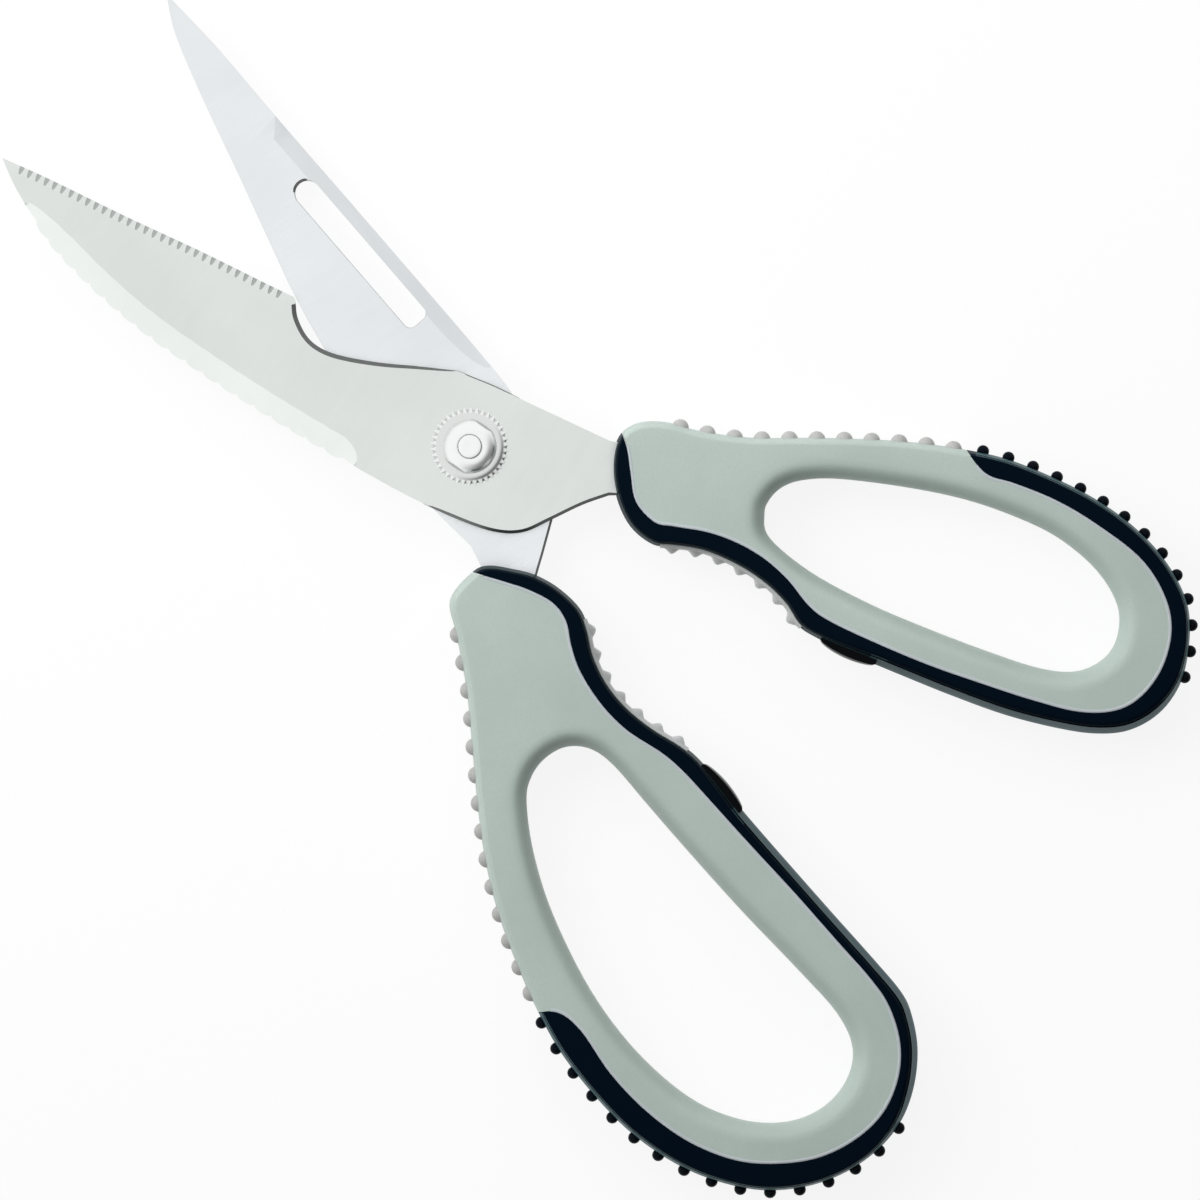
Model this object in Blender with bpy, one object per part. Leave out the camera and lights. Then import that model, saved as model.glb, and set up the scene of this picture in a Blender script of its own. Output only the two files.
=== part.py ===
"""Fish and game shears: two steel blades on one pivot, each moulded into a soft-banded loop handle.

Each half is drawn in its own flat frame as it lies with the shears closed: the origin is the
pivot's axis, +Y runs to the tips and +X to the right, seen from the front. The two halves are
then turned about the pivot to the resting opening. All sizes are in millimetres and degrees.
"""

import math

import bmesh
import bpy
from mathutils import Matrix, Vector

MM = 0.001

# How far the shears stand open at rest, shared equally by the two halves
REST_OPENING = 24.4

# Running gap between pieces that touch on the real object
CLEARANCE = 0.3

# Blades
BLADE_THICKNESS = 2.5
EDGE_BEVEL_WIDTH = 1.8
EDGE_LAND = 1.2
GRIND_RUN_OUT = 0.7
GROOVE_COUNT = 32
GROOVE_WIDTH = 0.9
GROOVE_DEPTH = 0.3
GROOVE_LENGTH = 5.0
SERRATION_FROM_TIP = 4.0
SERRATION_FROM_CORNER = 2.7
SCALER_TEETH = 19
SCALER_TOOTH_DEPTH = 0.6
SCALER_EDGE = 1.0
REAR_BEVEL_WIDTH = 4.0
SPINE_EDGE = 1.5
SPINE_BEVEL_WIDTH = 2.45
SLOT_LENGTH = 32.6
SLOT_WIDTH = 4.5
SLOT_CORNER = 1.3
SLOT_CENTRE = (2.9, 39.6)
SLOT_LEAN = 6.9

# Pivot
BOLT_DIAMETER = 4.1
BOLT_HEAD_DIAMETER = 11.0
BOLT_HEAD_THICKNESS = 1.7
BOLT_END_RISE = 0.7
TENSION_WASHER_DIAMETER = 9.6
TENSION_WASHER_THICKNESS = 0.5
LOCK_WASHER_DIAMETER = 13.8
LOCK_WASHER_THICKNESS = 0.5
LOCK_WASHER_TEETH = 38
LOCK_WASHER_TOOTH_LENGTH = 0.8
NUT_DIAMETER = 9.6
NUT_FLATS = 8.1
NUT_HEIGHT = 2.8
NUT_DOME = 1.3
NUT_TURN = 10.0
NUT_CHAMFER = 0.5

# Handles
HANDLE_THICKNESS = 14.0
HANDLE_ROUNDING = 2.0
NUB_RADIUS = 1.35
NUB_RISE = 1.5
FRONT_GREY_NUBS = 11
FRONT_DARK_NUBS = 14
REAR_GREY_NUBS = 14
REAR_DARK_NUBS = 16
JAW_THICKNESS = 8.0
JAW_REACH = 1.5
JAW_RIBS = 7
JAW_RIB_HEIGHT = 0.9
JAW_ROOT = 1.8
STOP_PAD_THICKNESS = 9.0
STOP_PAD_REACH = 1.1
STOP_PAD_ROOT = 1.4

# Front blade outline, clockwise from the tip, and the line where its scaler edge is ground
FRONT_TIP = (0.0, 97.8)
FRONT_EDGE = [FRONT_TIP, (1.2, 88.6), (2.7, 73.5), (4.4, 59.2), (5.6, 46.5), (6.2, 40.6)]
FRONT_NOTCH = [
    (5.6, 39.9), (3.4, 38.1), (1.5, 35.0), (1.0, 31.8), (1.8, 27.8), (4.3, 21.5), (7.4, 15.2), (10.4, 8.8),
]
FRONT_SHOULDER = [(10.7, 7.0), (11.6, 1.4), (12.1, -4.0), (12.9, -11.0), (14.0, -20.6)]
FRONT_TANG = [(17.5, -31.0), (20.6, -39.0), (20.4, -44.5), (16.4, -44.5), (14.2, -40.0), (9.8, -32.0)]
FRONT_BELLY = [
    (5.6, -25.6), (1.6, -22.4), (-3.7, -19.0), (-8.0, -16.0), (-10.6, -11.6), (-12.2, -4.6), (-13.3, 5.0),
    (-13.8, 14.6),
]
FRONT_SCALER = [
    (-14.2, 18.4), (-14.4, 28.0), (-14.4, 38.0), (-14.1, 48.5), (-13.4, 60.0), (-11.7, 71.0), (-9.4, 80.5),
    (-7.0, 86.8),
]
FRONT_BACK_TIP = [(-4.8, 90.2), (-2.8, 93.8), FRONT_TIP]
FRONT_SCALER_LINE = [
    (-10.4, 16.0), (-10.4, 27.0), (-10.2, 37.0), (-10.1, 47.0), (-9.5, 59.0), (-8.2, 69.5), (-6.0, 79.0),
    (-3.6, 87.0),
]

# Rear blade outline, clockwise from the tip, and the line where its spine is ground
REAR_TIP = (0.1, 97.0)
REAR_SPINE = [
    REAR_TIP, (1.0, 92.0), (2.4, 83.3), (4.1, 68.3), (6.6, 48.2), (9.0, 28.5), (10.7, 14.0), (11.5, 4.0),
    (10.5, -3.5), (8.1, -10.4), (5.4, -18.6),
]
REAR_TANG = [
    (1.0, -22.4), (-4.6, -27.4), (-9.0, -34.0), (-12.2, -40.5), (-15.0, -46.5), (-19.2, -46.5),
    (-17.2, -38.5), (-13.2, -27.0), (-10.2, -18.6),
]
REAR_NECK_LEFT = [(-9.7, -14.8), (-10.8, -9.6)]
REAR_EDGE = [
    (-11.9, -4.0), (-12.8, 6.0), (-12.5, 18.0), (-11.7, 30.0), (-10.9, 39.5), (-9.3, 49.9), (-7.2, 63.0),
    (-4.7, 79.2), (-2.5, 90.4), REAR_TIP,
]
REAR_SPINE_LINE = [
    (1.7, 65.2), (3.3, 53.5), (4.6, 44.5), (5.7, 36.0), (6.8, 27.0), (7.8, 18.6), (8.8, 13.6),
]

# How many of the rear edge's first points are left unground
REAR_UNGROUND = 2

# Handle outlines, their finger holes, and the lines that part the dark band from the grey core
FRONT_OUTLINE = [
    (15.5, -21.6), (19.3, -23.2), (22.0, -27.2), (23.8, -33.0), (27.3, -41.0), (32.4, -49.4),
    (36.8, -56.8), (41.1, -64.6), (44.8, -72.6), (48.2, -81.8), (49.9, -91.0), (50.6, -99.5),
    (50.1, -107.4), (48.4, -114.4), (45.4, -120.6), (41.8, -124.7), (36.1, -128.0), (30.2, -129.8),
    (24.1, -129.3), (18.8, -126.4), (15.1, -121.6), (12.2, -114.9), (9.4, -105.9), (7.3, -95.8),
    (5.7, -86.4), (4.3, -77.5), (3.5, -70.6), (3.6, -66.5), (5.5, -62.3), (6.6, -57.4), (6.8, -51.8),
    (5.9, -45.4), (3.9, -40.3), (2.3, -36.8), (2.9, -31.8), (5.9, -27.1), (10.5, -23.3),
]
FRONT_HOLE = [
    (17.2, -51.0), (19.8, -50.3), (23.1, -51.1), (26.2, -53.7), (29.8, -59.2), (34.8, -70.2),
    (38.4, -80.2), (40.5, -89.8), (41.2, -98.0), (39.9, -106.4), (36.6, -112.8), (32.0, -115.7),
    (27.3, -115.8), (22.8, -112.9), (19.8, -107.1), (17.5, -97.8), (15.3, -86.4), (13.6, -75.2),
    (12.9, -63.4), (14.2, -54.0),
]
FRONT_BAND_LINE = [
    (46.6, -74.4), (44.9, -77.7), (44.1, -81.2), (45.3, -85.8), (46.6, -93.5), (46.8, -101.6),
    (45.8, -111.6), (42.6, -118.6), (38.0, -123.1), (31.5, -125.3), (25.1, -124.9), (20.3, -122.2),
    (16.7, -116.7), (14.2, -108.8), (12.0, -99.8), (9.8, -89.8), (8.2, -79.8), (7.2, -71.0),
    (7.5, -66.3), (9.5, -60.6), (10.5, -55.2), (10.4, -49.7), (9.3, -44.2), (7.0, -38.4), (5.8, -35.0),
    (7.2, -30.2), (11.1, -26.7), (14.4, -23.9), (17.4, -20.4),
]
REAR_OUTLINE = [
    (-12.4, -18.8), (-9.2, -19.3), (-5.7, -22.4), (-3.0, -25.5), (-0.9, -29.7), (0.2, -34.8),
    (-0.6, -38.8), (-2.3, -43.4), (-3.0, -48.6), (-2.5, -53.9), (-0.8, -59.5), (1.4, -64.3),
    (2.7, -68.2), (3.4, -73.4), (4.4, -82.7), (5.7, -93.0), (7.3, -105.1), (8.8, -115.9), (9.6, -123.4),
    (8.9, -127.7), (6.5, -133.2), (2.3, -138.4), (-3.0, -142.3), (-9.2, -144.3), (-16.4, -144.5),
    (-23.7, -142.7), (-30.7, -138.8), (-36.5, -132.9), (-40.9, -126.1), (-44.2, -117.7),
    (-45.9, -109.1), (-46.7, -99.6), (-46.2, -91.6), (-44.7, -82.3), (-42.2, -71.9), (-38.7, -62.4),
    (-34.3, -53.4), (-29.5, -44.6), (-24.7, -35.7), (-20.8, -26.8), (-18.2, -20.7),
]
REAR_HOLE = [
    (-27.0, -58.3), (-23.9, -55.0), (-19.9, -53.5), (-15.6, -53.9), (-12.2, -56.6), (-10.4, -61.4),
    (-9.3, -70.5), (-7.9, -81.7), (-5.9, -95.7), (-3.4, -110.1), (-2.0, -120.2), (-3.2, -126.9),
    (-7.4, -131.0), (-13.6, -132.6), (-20.3, -131.1), (-26.8, -126.2), (-32.1, -118.0),
    (-35.4, -105.8), (-36.1, -92.4), (-34.2, -77.6), (-31.0, -66.6),
]
REAR_BAND_LINE = [
    (-13.6, -17.0), (-11.4, -19.6), (-8.4, -23.2), (-5.4, -27.1), (-3.2, -31.4), (-3.1, -35.4),
    (-4.8, -39.6), (-6.0, -44.4), (-6.1, -51.0), (-4.9, -57.4), (-2.0, -64.2), (-0.6, -69.4),
    (0.4, -76.0), (1.9, -86.4), (3.7, -98.0), (5.2, -109.3), (6.4, -118.2), (6.4, -124.2),
    (4.4, -130.6), (0.6, -135.6), (-5.0, -139.2), (-11.6, -140.4), (-18.8, -139.5), (-25.6, -136.3),
    (-31.6, -131.5), (-36.6, -124.2), (-39.8, -115.6), (-41.4, -106.4), (-41.5, -97.2),
    (-43.2, -92.1), (-47.6, -89.6),
]

# Where rows of nubs, jaw ribs and stop pads run along the outlines, from one place to another
FRONT_GREY_NUB_SPAN = ((22.8, -30.0), (45.2, -73.3))
FRONT_DARK_NUB_SPAN = ((47.4, -78.1), (32.0, -130.0))
REAR_GREY_NUB_SPAN = ((-45.4, -86.7), (-20.9, -26.4))
REAR_DARK_NUB_SPAN = ((-4.3, -143.2), (-46.6, -92.2))
FRONT_JAW_SPAN = ((2.9, -66.8), (2.7, -38.1))
REAR_JAW_SPAN = ((0.3, -37.0), (2.4, -66.3))
FRONT_STOP_SPAN = ((4.9, -81.7), (3.4, -71.1))
REAR_STOP_SPAN = ((2.9, -70.0), (4.1, -80.7))

# Heights, worked out upwards from the flat face of the bolt's head
HEAD_TOP = BOLT_HEAD_THICKNESS
TENSION_BOTTOM = HEAD_TOP + CLEARANCE
TENSION_TOP = TENSION_BOTTOM + TENSION_WASHER_THICKNESS
REAR_BLADE_BOTTOM = TENSION_TOP + CLEARANCE
REAR_BLADE_TOP = REAR_BLADE_BOTTOM + BLADE_THICKNESS
FRONT_BLADE_BOTTOM = REAR_BLADE_TOP + CLEARANCE
FRONT_BLADE_TOP = FRONT_BLADE_BOTTOM + BLADE_THICKNESS
LOCK_BOTTOM = FRONT_BLADE_TOP + CLEARANCE
LOCK_TOP = LOCK_BOTTOM + LOCK_WASHER_THICKNESS
NUT_BOTTOM = LOCK_TOP + CLEARANCE
NUT_TOP = NUT_BOTTOM + NUT_HEIGHT
HANDLE_MIDDLE = (REAR_BLADE_TOP + FRONT_BLADE_BOTTOM) / 2

# Radius of every bore that the bolt passes through
BORE = BOLT_DIAMETER / 2 + CLEARANCE

# Straight runs between two outline points, and the sides or steps of each round shape
CURVE_STEPS = 3
ROUND_SIDES = 32
ROUNDING_STEPS = 1
NUB_SIDES = 10
NUB_RINGS = 6
GROOVE_SIDES = 7
SCALER_TOOTH_STEPS = 6
JAW_RIB_STEPS = 4
STOP_PAD_STEPS = 8
SLOT_END_STEPS = 8
SLOT_CORNER_STEPS = 3
DOME_STEPS = 5

# Edges that turn by more than this stay sharp where a piece is shaded smooth
SHARP_TURN = 30.0

# How far a cutter reaches past what it cuts, and how far before a ground slope it starts
OVERSHOOT = 2.0
LEAD_IN = 1.0

# Points nearer each other than this are one point
SAME_PLACE = 0.001


def clear_scene():
    for old in list(bpy.data.objects):
        bpy.data.objects.remove(old, do_unlink=True)


def new_collection(name, hidden=False):
    made = bpy.data.collections.new(name)
    made.hide_render = hidden
    bpy.context.scene.collection.children.link(made)
    return made


def material(name, colour, roughness, metallic):
    made = bpy.data.materials.new(name)
    made.use_nodes = True
    shader = made.node_tree.nodes["Principled BSDF"]
    shader.inputs["Base Color"].default_value = (*colour, 1.0)
    shader.inputs["Roughness"].default_value = roughness
    shader.inputs["Metallic"].default_value = metallic
    made.diffuse_color = (*colour, 1.0)
    return made


def smooth_line(points, closed=False):
    """A Catmull-Rom curve through the points, as a list of vectors."""
    points = [Vector(p) for p in points]
    if closed:
        ahead = [points[-1]] + points + points[:2]
    else:
        ahead = [2 * points[0] - points[1]] + points + [2 * points[-1] - points[-2]]
    line = []
    for i in range(len(ahead) - 3):
        before, start, end, after = ahead[i : i + 4]
        for step in range(CURVE_STEPS):
            t = step / CURVE_STEPS
            straight = 2 * start + (end - before) * t
            bend = (2 * before - 5 * start + 4 * end - after) * t**2
            twist = (3 * start - before - 3 * end + after) * t**3
            line.append((straight + bend + twist) / 2)
    if not closed:
        line.append(points[-1])
    return line


def left_of(direction):
    return Vector((-direction.y, direction.x)).normalized()


def offset_line(line, distance, closed=False):
    """The line moved to its left by the distance, which is outwards on an outline."""
    last = len(line) - 1
    found = []
    for i, place in enumerate(line):
        before = line[i - 1] if closed or i > 0 else place
        after = line[(i + 1) % len(line)] if closed or i < last else place
        found.append(place + left_of(after - before) * distance)
    return found


def nearest_on(line, place):
    """Where a closed line passes nearest a place: the number of its run, and that point."""
    found = []
    for i, start in enumerate(line):
        run = line[(i + 1) % len(line)] - start
        share = min(1.0, max(0.0, (place - start).dot(run) / run.length_squared))
        point = start + run * share
        found.append(((point - place).length, i, point))
    return min(found, key=lambda item: item[0])[1:]


def stretch(line, span):
    """The run of a closed line from its point nearest one place on to its point nearest the other."""
    first, start = nearest_on(line, Vector(span[0]))
    last, end = nearest_on(line, Vector(span[1]))
    between = [line[(first + 1 + i) % len(line)] for i in range((last - first) % len(line))]
    found = [start]
    for place in between + [end]:
        if (place - found[-1]).length > SAME_PLACE:
            found.append(place)
    return found


def spaced(line, count):
    """Places spread evenly along a line from end to end, each with the unit vector to its left."""
    lengths = [0.0]
    for start, end in zip(line, line[1:]):
        lengths.append(lengths[-1] + (end - start).length)
    found = []
    k = 1
    for i in range(count):
        wanted = lengths[-1] * i / (count - 1)
        while k < len(lengths) - 1 and lengths[k] < wanted:
            k += 1
        share = (wanted - lengths[k - 1]) / (lengths[k] - lengths[k - 1])
        found.append((line[k - 1].lerp(line[k], share), left_of(line[k] - line[k - 1])))
    return found


def extended(line, distance):
    """An open line with a straight run added at each end."""
    before = line[0] + (line[0] - line[1]).normalized() * distance
    after = line[-1] + (line[-1] - line[-2]).normalized() * distance
    return [before] + line + [after]


def past(line, distance):
    """The rest of an open line past a distance from its start."""
    gone = 0.0
    for i, (start, end) in enumerate(zip(line, line[1:])):
        step = (end - start).length
        if gone + step > distance:
            return [start.lerp(end, (distance - gone) / step)] + line[i + 1 :]
        gone += step
    return line[-2:]


def humps(line, count, steps, low, high):
    """Round humps along a line, which rise from a low to a high distance to its left."""
    found = []
    for i, (place, outward) in enumerate(spaced(line, count * steps + 1)):
        rise = math.sqrt(abs(math.sin(math.pi * i / steps)))
        found.append(place + outward * (low + (high - low) * rise))
    return found


def arc(centre, radius, start, end, steps):
    """Points along an arc between two angles, both ends included."""
    found = []
    for i in range(steps + 1):
        angle = math.radians(start + (end - start) * i / steps)
        found.append(Vector(centre) + radius * Vector((math.cos(angle), math.sin(angle))))
    return found


def circle(radius):
    return arc((0.0, 0.0), radius, 0.0, 360.0 - 360.0 / ROUND_SIDES, ROUND_SIDES - 1)


def piece(made, name, group, frame, finish=None):
    """A named object from a bmesh, which is freed. One without a finish is a hidden cutter."""
    bmesh.ops.remove_doubles(made, verts=made.verts, dist=SAME_PLACE * MM)
    bmesh.ops.recalc_face_normals(made, faces=made.faces)
    mesh = bpy.data.meshes.new(name)
    made.to_mesh(mesh)
    made.free()
    mesh.shade_smooth()
    mesh.set_sharp_from_angle(angle=math.radians(SHARP_TURN))
    found = bpy.data.objects.new(name, mesh)
    found.parent = frame
    group.objects.link(found)
    if finish:
        mesh.materials.append(finish)
    else:
        found.hide_render = True
        found.display_type = "WIRE"
    return found


def plate(name, outlines, bottom, top, group, frame, finish=None, rounding=0.0):
    """A flat plate between two heights, from one outline and any holes in it, its rims rounded."""
    curve = bpy.data.curves.new(name + "_outline", "CURVE")
    curve.dimensions = "2D"
    curve.fill_mode = "BOTH"
    curve.extrude = ((top - bottom) / 2 - rounding) * MM
    curve.bevel_depth = rounding * MM
    curve.bevel_resolution = ROUNDING_STEPS
    curve.offset = -rounding * MM
    for outline in outlines:
        spline = curve.splines.new("POLY")
        spline.points.add(len(outline) - 1)
        for point, place in zip(spline.points, outline):
            point.co = (place.x * MM, place.y * MM, 0.0, 1.0)
        spline.use_cyclic_u = True
    guide = bpy.data.objects.new(name + "_guide", curve)
    group.objects.link(guide)
    bpy.context.view_layer.update()
    graph = bpy.context.evaluated_depsgraph_get()
    drawn = bpy.data.meshes.new_from_object(guide.evaluated_get(graph))
    drawn.transform(Matrix.Translation((0.0, 0.0, (top + bottom) / 2 * MM)))
    bpy.data.objects.remove(guide, do_unlink=True)
    made = bmesh.new()
    made.from_mesh(drawn)
    bpy.data.meshes.remove(drawn)
    return piece(made, name, group, frame, finish)


def turned(name, profile, group, frame, finish=None):
    """A turned piece about the pivot's axis. The profile runs down its outer side, as (radius, height)."""
    made = bmesh.new()
    corners = [made.verts.new((radius * MM, 0.0, height * MM)) for radius, height in profile]
    edges = [made.edges.new(pair) for pair in zip(corners, corners[1:])]
    bmesh.ops.spin(
        made, geom=corners + edges, axis=(0.0, 0.0, 1.0), cent=(0.0, 0.0, 0.0),
        angle=2 * math.pi, steps=ROUND_SIDES, use_merge=True,
    )
    return piece(made, name, group, frame, finish)


def slope_cutter(name, inner, outer, face_height, edge_height, group, frame):
    """A wedge that grinds a slope from a line on a blade's face to another height along its edge.

    The ground face looks up where the edge lies lower than the face, and down where it lies higher.
    """
    away = math.copysign(OVERSHOOT, face_height - edge_height)
    made = bmesh.new()
    rings = []
    for near, far in zip(inner, outer):
        across = far - near
        fall = (edge_height - face_height) / across.length
        last = across.length + OVERSHOOT
        corners = (
            (-LEAD_IN, face_height - fall * LEAD_IN), (last, face_height + fall * last),
            (last, face_height + away), (-LEAD_IN, face_height + away),
        )
        ring = []
        for distance, height in corners:
            place = near + across.normalized() * distance
            ring.append(made.verts.new((place.x * MM, place.y * MM, height * MM)))
        rings.append(ring)
    for a, b in zip(rings, rings[1:]):
        for i in range(4):
            j = (i + 1) % 4
            made.faces.new((a[i], a[j], b[j], b[i]))
    made.faces.new(rings[0])
    made.faces.new(rings[-1])
    return piece(made, name, group, frame)


def seat_at(place, outward, height):
    """The matrix of a small shape at a place on an outline, its own X axis pointing outwards."""
    turn = Matrix.Rotation(math.atan2(outward.y, outward.x), 4, "Z")
    return Matrix.Translation((place.x * MM, place.y * MM, height * MM)) @ turn


def nub_row(name, line, count, group, frame):
    """Round nubs at even steps along the outline, at the middle of the handle's thickness."""
    made = bmesh.new()
    for place, outward in spaced(line, count):
        seat = seat_at(place + outward * (NUB_RISE - NUB_RADIUS), outward, HANDLE_MIDDLE)
        bmesh.ops.create_uvsphere(
            made, u_segments=NUB_SIDES, v_segments=NUB_RINGS, radius=NUB_RADIUS * MM, matrix=seat
        )
    return piece(made, name, group, frame)


def groove_row(name, line, group, frame):
    """Short round cutters square to the cutting edge, for its fine serrations."""
    made = bmesh.new()
    radius = GROOVE_WIDTH / 2
    slope = math.atan2(BLADE_THICKNESS - EDGE_LAND, EDGE_BEVEL_WIDTH)
    middle = (FRONT_BLADE_TOP + FRONT_BLADE_BOTTOM + EDGE_LAND) / 2
    height = middle + (radius - GROOVE_DEPTH) / math.cos(slope)
    lie = Matrix.Rotation(math.pi / 2 + slope, 4, "Y")
    for place, outward in spaced(line, GROOVE_COUNT):
        seat = seat_at(place - outward * EDGE_BEVEL_WIDTH / 2, outward, height)
        bmesh.ops.create_cone(
            made, cap_ends=True, segments=GROOVE_SIDES, radius1=radius * MM, radius2=radius * MM,
            depth=GROOVE_LENGTH * MM, matrix=seat @ lie,
        )
    return piece(made, name, group, frame)


def combine(target, operation, tool, solver="EXACT"):
    step = target.modifiers.new(tool.name, "BOOLEAN")
    step.operation = operation
    step.solver = solver
    step.object = tool


def front_tang():
    """The outline of the front blade's tang, up to where its neck leaves the handle."""
    right = smooth_line(FRONT_SHOULDER)[-CURVE_STEPS - 1 :]
    left = smooth_line(FRONT_BELLY)[: 2 * CURVE_STEPS + 1]
    return right + smooth_line(FRONT_TANG) + left


def rear_tang():
    """The outline of the rear blade's tang, up to where its neck leaves the handle."""
    right = smooth_line(REAR_SPINE)[-CURVE_STEPS - 1 :]
    return right + smooth_line(REAR_TANG) + smooth_line(REAR_NECK_LEFT)


def slot_outline():
    """The long slot: a round end towards the tip and a squarer one towards the pivot."""
    half = SLOT_WIDTH / 2
    top = SLOT_LENGTH / 2 - half
    low = SLOT_CORNER - SLOT_LENGTH / 2
    side = half - SLOT_CORNER
    upright = (
        arc((0.0, top), half, 0.0, 180.0, SLOT_END_STEPS)
        + arc((-side, low), SLOT_CORNER, 180.0, 270.0, SLOT_CORNER_STEPS)
        + arc((side, low), SLOT_CORNER, 270.0, 360.0, SLOT_CORNER_STEPS)
    )
    lean = Matrix.Rotation(math.radians(SLOT_LEAN), 2)
    return [lean @ place + Vector(SLOT_CENTRE) for place in upright]


def front_blade(group, cutters, frame, finish):
    edge = smooth_line(FRONT_EDGE)
    scaler = smooth_line(FRONT_SCALER)
    outline = (
        edge + smooth_line(FRONT_NOTCH) + smooth_line(FRONT_SHOULDER) + smooth_line(FRONT_TANG)
        + smooth_line(FRONT_BELLY) + humps(scaler, SCALER_TEETH, SCALER_TOOTH_STEPS, -SCALER_TOOTH_DEPTH, 0.0)
        + smooth_line(FRONT_BACK_TIP)[:-1]
    )
    blade = plate(
        "front_blade", [outline, circle(BORE)], FRONT_BLADE_BOTTOM, FRONT_BLADE_TOP,
        group, frame, finish,
    )
    scaler_grind = slope_cutter(
        "scaler_grind", smooth_line(FRONT_SCALER_LINE), scaler,
        FRONT_BLADE_TOP, FRONT_BLADE_BOTTOM + SCALER_EDGE, cutters, frame,
    )
    ground = extended(edge, GRIND_RUN_OUT)
    edge_grind = slope_cutter(
        "front_edge_grind", offset_line(ground, -EDGE_BEVEL_WIDTH), ground,
        FRONT_BLADE_TOP, FRONT_BLADE_BOTTOM + EDGE_LAND, cutters, frame,
    )
    serrated = past(past(edge, SERRATION_FROM_TIP)[::-1], SERRATION_FROM_CORNER)[::-1]
    combine(blade, "DIFFERENCE", scaler_grind)
    combine(blade, "DIFFERENCE", edge_grind)
    # The exact solver leaves edges open where these small grooves meet the ground face
    combine(blade, "DIFFERENCE", groove_row("edge_grooves", serrated, cutters, frame), "MANIFOLD")


def rear_blade(group, cutters, frame, finish):
    edge = smooth_line(REAR_EDGE)
    neck = smooth_line(REAR_TANG) + smooth_line(REAR_NECK_LEFT)
    outline = smooth_line(REAR_SPINE) + neck + edge[:-1]
    blade = plate(
        "rear_blade", [outline, slot_outline(), circle(BORE)], REAR_BLADE_BOTTOM, REAR_BLADE_TOP,
        group, frame, finish,
    )
    ground = extended(smooth_line(REAR_EDGE[REAR_UNGROUND:]), GRIND_RUN_OUT)
    edge_grind = slope_cutter(
        "rear_edge_grind", offset_line(ground, -REAR_BEVEL_WIDTH), ground,
        REAR_BLADE_BOTTOM, REAR_BLADE_TOP - EDGE_LAND, cutters, frame,
    )
    inner = smooth_line(REAR_SPINE_LINE)
    spine_grind = slope_cutter(
        "spine_grind", inner, offset_line(inner, SPINE_BEVEL_WIDTH),
        REAR_BLADE_TOP, REAR_BLADE_BOTTOM + SPINE_EDGE, cutters, frame,
    )
    combine(blade, "DIFFERENCE", edge_grind)
    combine(blade, "DIFFERENCE", spine_grind)


def pivot_bolt(group, frame, finish):
    shank = BOLT_DIAMETER / 2
    head = BOLT_HEAD_DIAMETER / 2
    end = NUT_TOP + BOLT_END_RISE
    ease = BOLT_END_RISE / 2
    profile = [
        (0.0, end), (shank - 2 * ease, end - ease / 3), (shank, end - 2 * ease), (shank, HEAD_TOP),
        (head - ease, HEAD_TOP), (head, HEAD_TOP - ease), (head, ease), (head - ease, 0.0), (0.0, 0.0),
    ]
    turned("pivot_bolt", profile, group, frame, finish)


def tension_washer(group, frame, finish):
    outer = TENSION_WASHER_DIAMETER / 2
    profile = [
        (BORE, TENSION_TOP), (outer, TENSION_TOP), (outer, TENSION_BOTTOM), (BORE, TENSION_BOTTOM),
        (BORE, TENSION_TOP),
    ]
    turned("tension_washer", profile, group, frame, finish)


def tooth_lock_washer(group, frame, finish):
    """A thin washer whose rim is cut into short square teeth."""
    tip = LOCK_WASHER_DIAMETER / 2
    root = tip - LOCK_WASHER_TOOTH_LENGTH
    outline = []
    for tooth in range(LOCK_WASHER_TEETH):
        for share, radius in ((0.05, root), (0.3, tip), (0.7, tip), (0.95, root)):
            angle = 2 * math.pi * (tooth + share) / LOCK_WASHER_TEETH
            outline.append(radius * Vector((math.cos(angle), math.sin(angle))))
    plate(
        "tooth_lock_washer", [outline, circle(BORE)], LOCK_BOTTOM, LOCK_TOP, group, frame, finish
    )


def pivot_nut(group, cutters, frame, finish):
    """A domed round nut with two flats for the wrench."""
    outer = NUT_DIAMETER / 2
    rim = NUT_TOP - NUT_DOME
    profile = []
    for across, up in arc((0.0, 0.0), 1.0, 90.0, 0.0, DOME_STEPS):
        profile.append((BORE + (outer - BORE) * across, rim + NUT_DOME * up))
    profile += [
        (outer, NUT_BOTTOM + NUT_CHAMFER), (outer - NUT_CHAMFER, NUT_BOTTOM), (BORE, NUT_BOTTOM),
        profile[0],
    ]
    nut = turned("pivot_nut", profile, group, frame, finish)
    side = NUT_FLATS / 2
    corners = ((-side, -outer - OVERSHOOT), (-side, outer + OVERSHOOT))
    corners += ((side, outer + OVERSHOOT), (side, -outer - OVERSHOOT))
    lean = Matrix.Rotation(math.radians(NUT_TURN), 2)
    between_flats = plate(
        "between_nut_flats", [[lean @ Vector(corner) for corner in corners]],
        NUT_BOTTOM - OVERSHOOT, NUT_TOP + OVERSHOOT, cutters, frame,
    )
    combine(nut, "INTERSECT", between_flats)


def band_region(name, outline, band_line, shift, group, frame):
    """All that lies on the dark band's side of its inner line, past the handle's own outline."""
    rim = stretch(outline, (band_line[0], band_line[-1]))
    region = offset_line(band_line, shift) + offset_line(rim, OVERSHOOT)[::-1]
    low = HANDLE_MIDDLE - HANDLE_THICKNESS
    high = HANDLE_MIDDLE + HANDLE_THICKNESS
    return plate(name, [region], low, high, group, frame)


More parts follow.
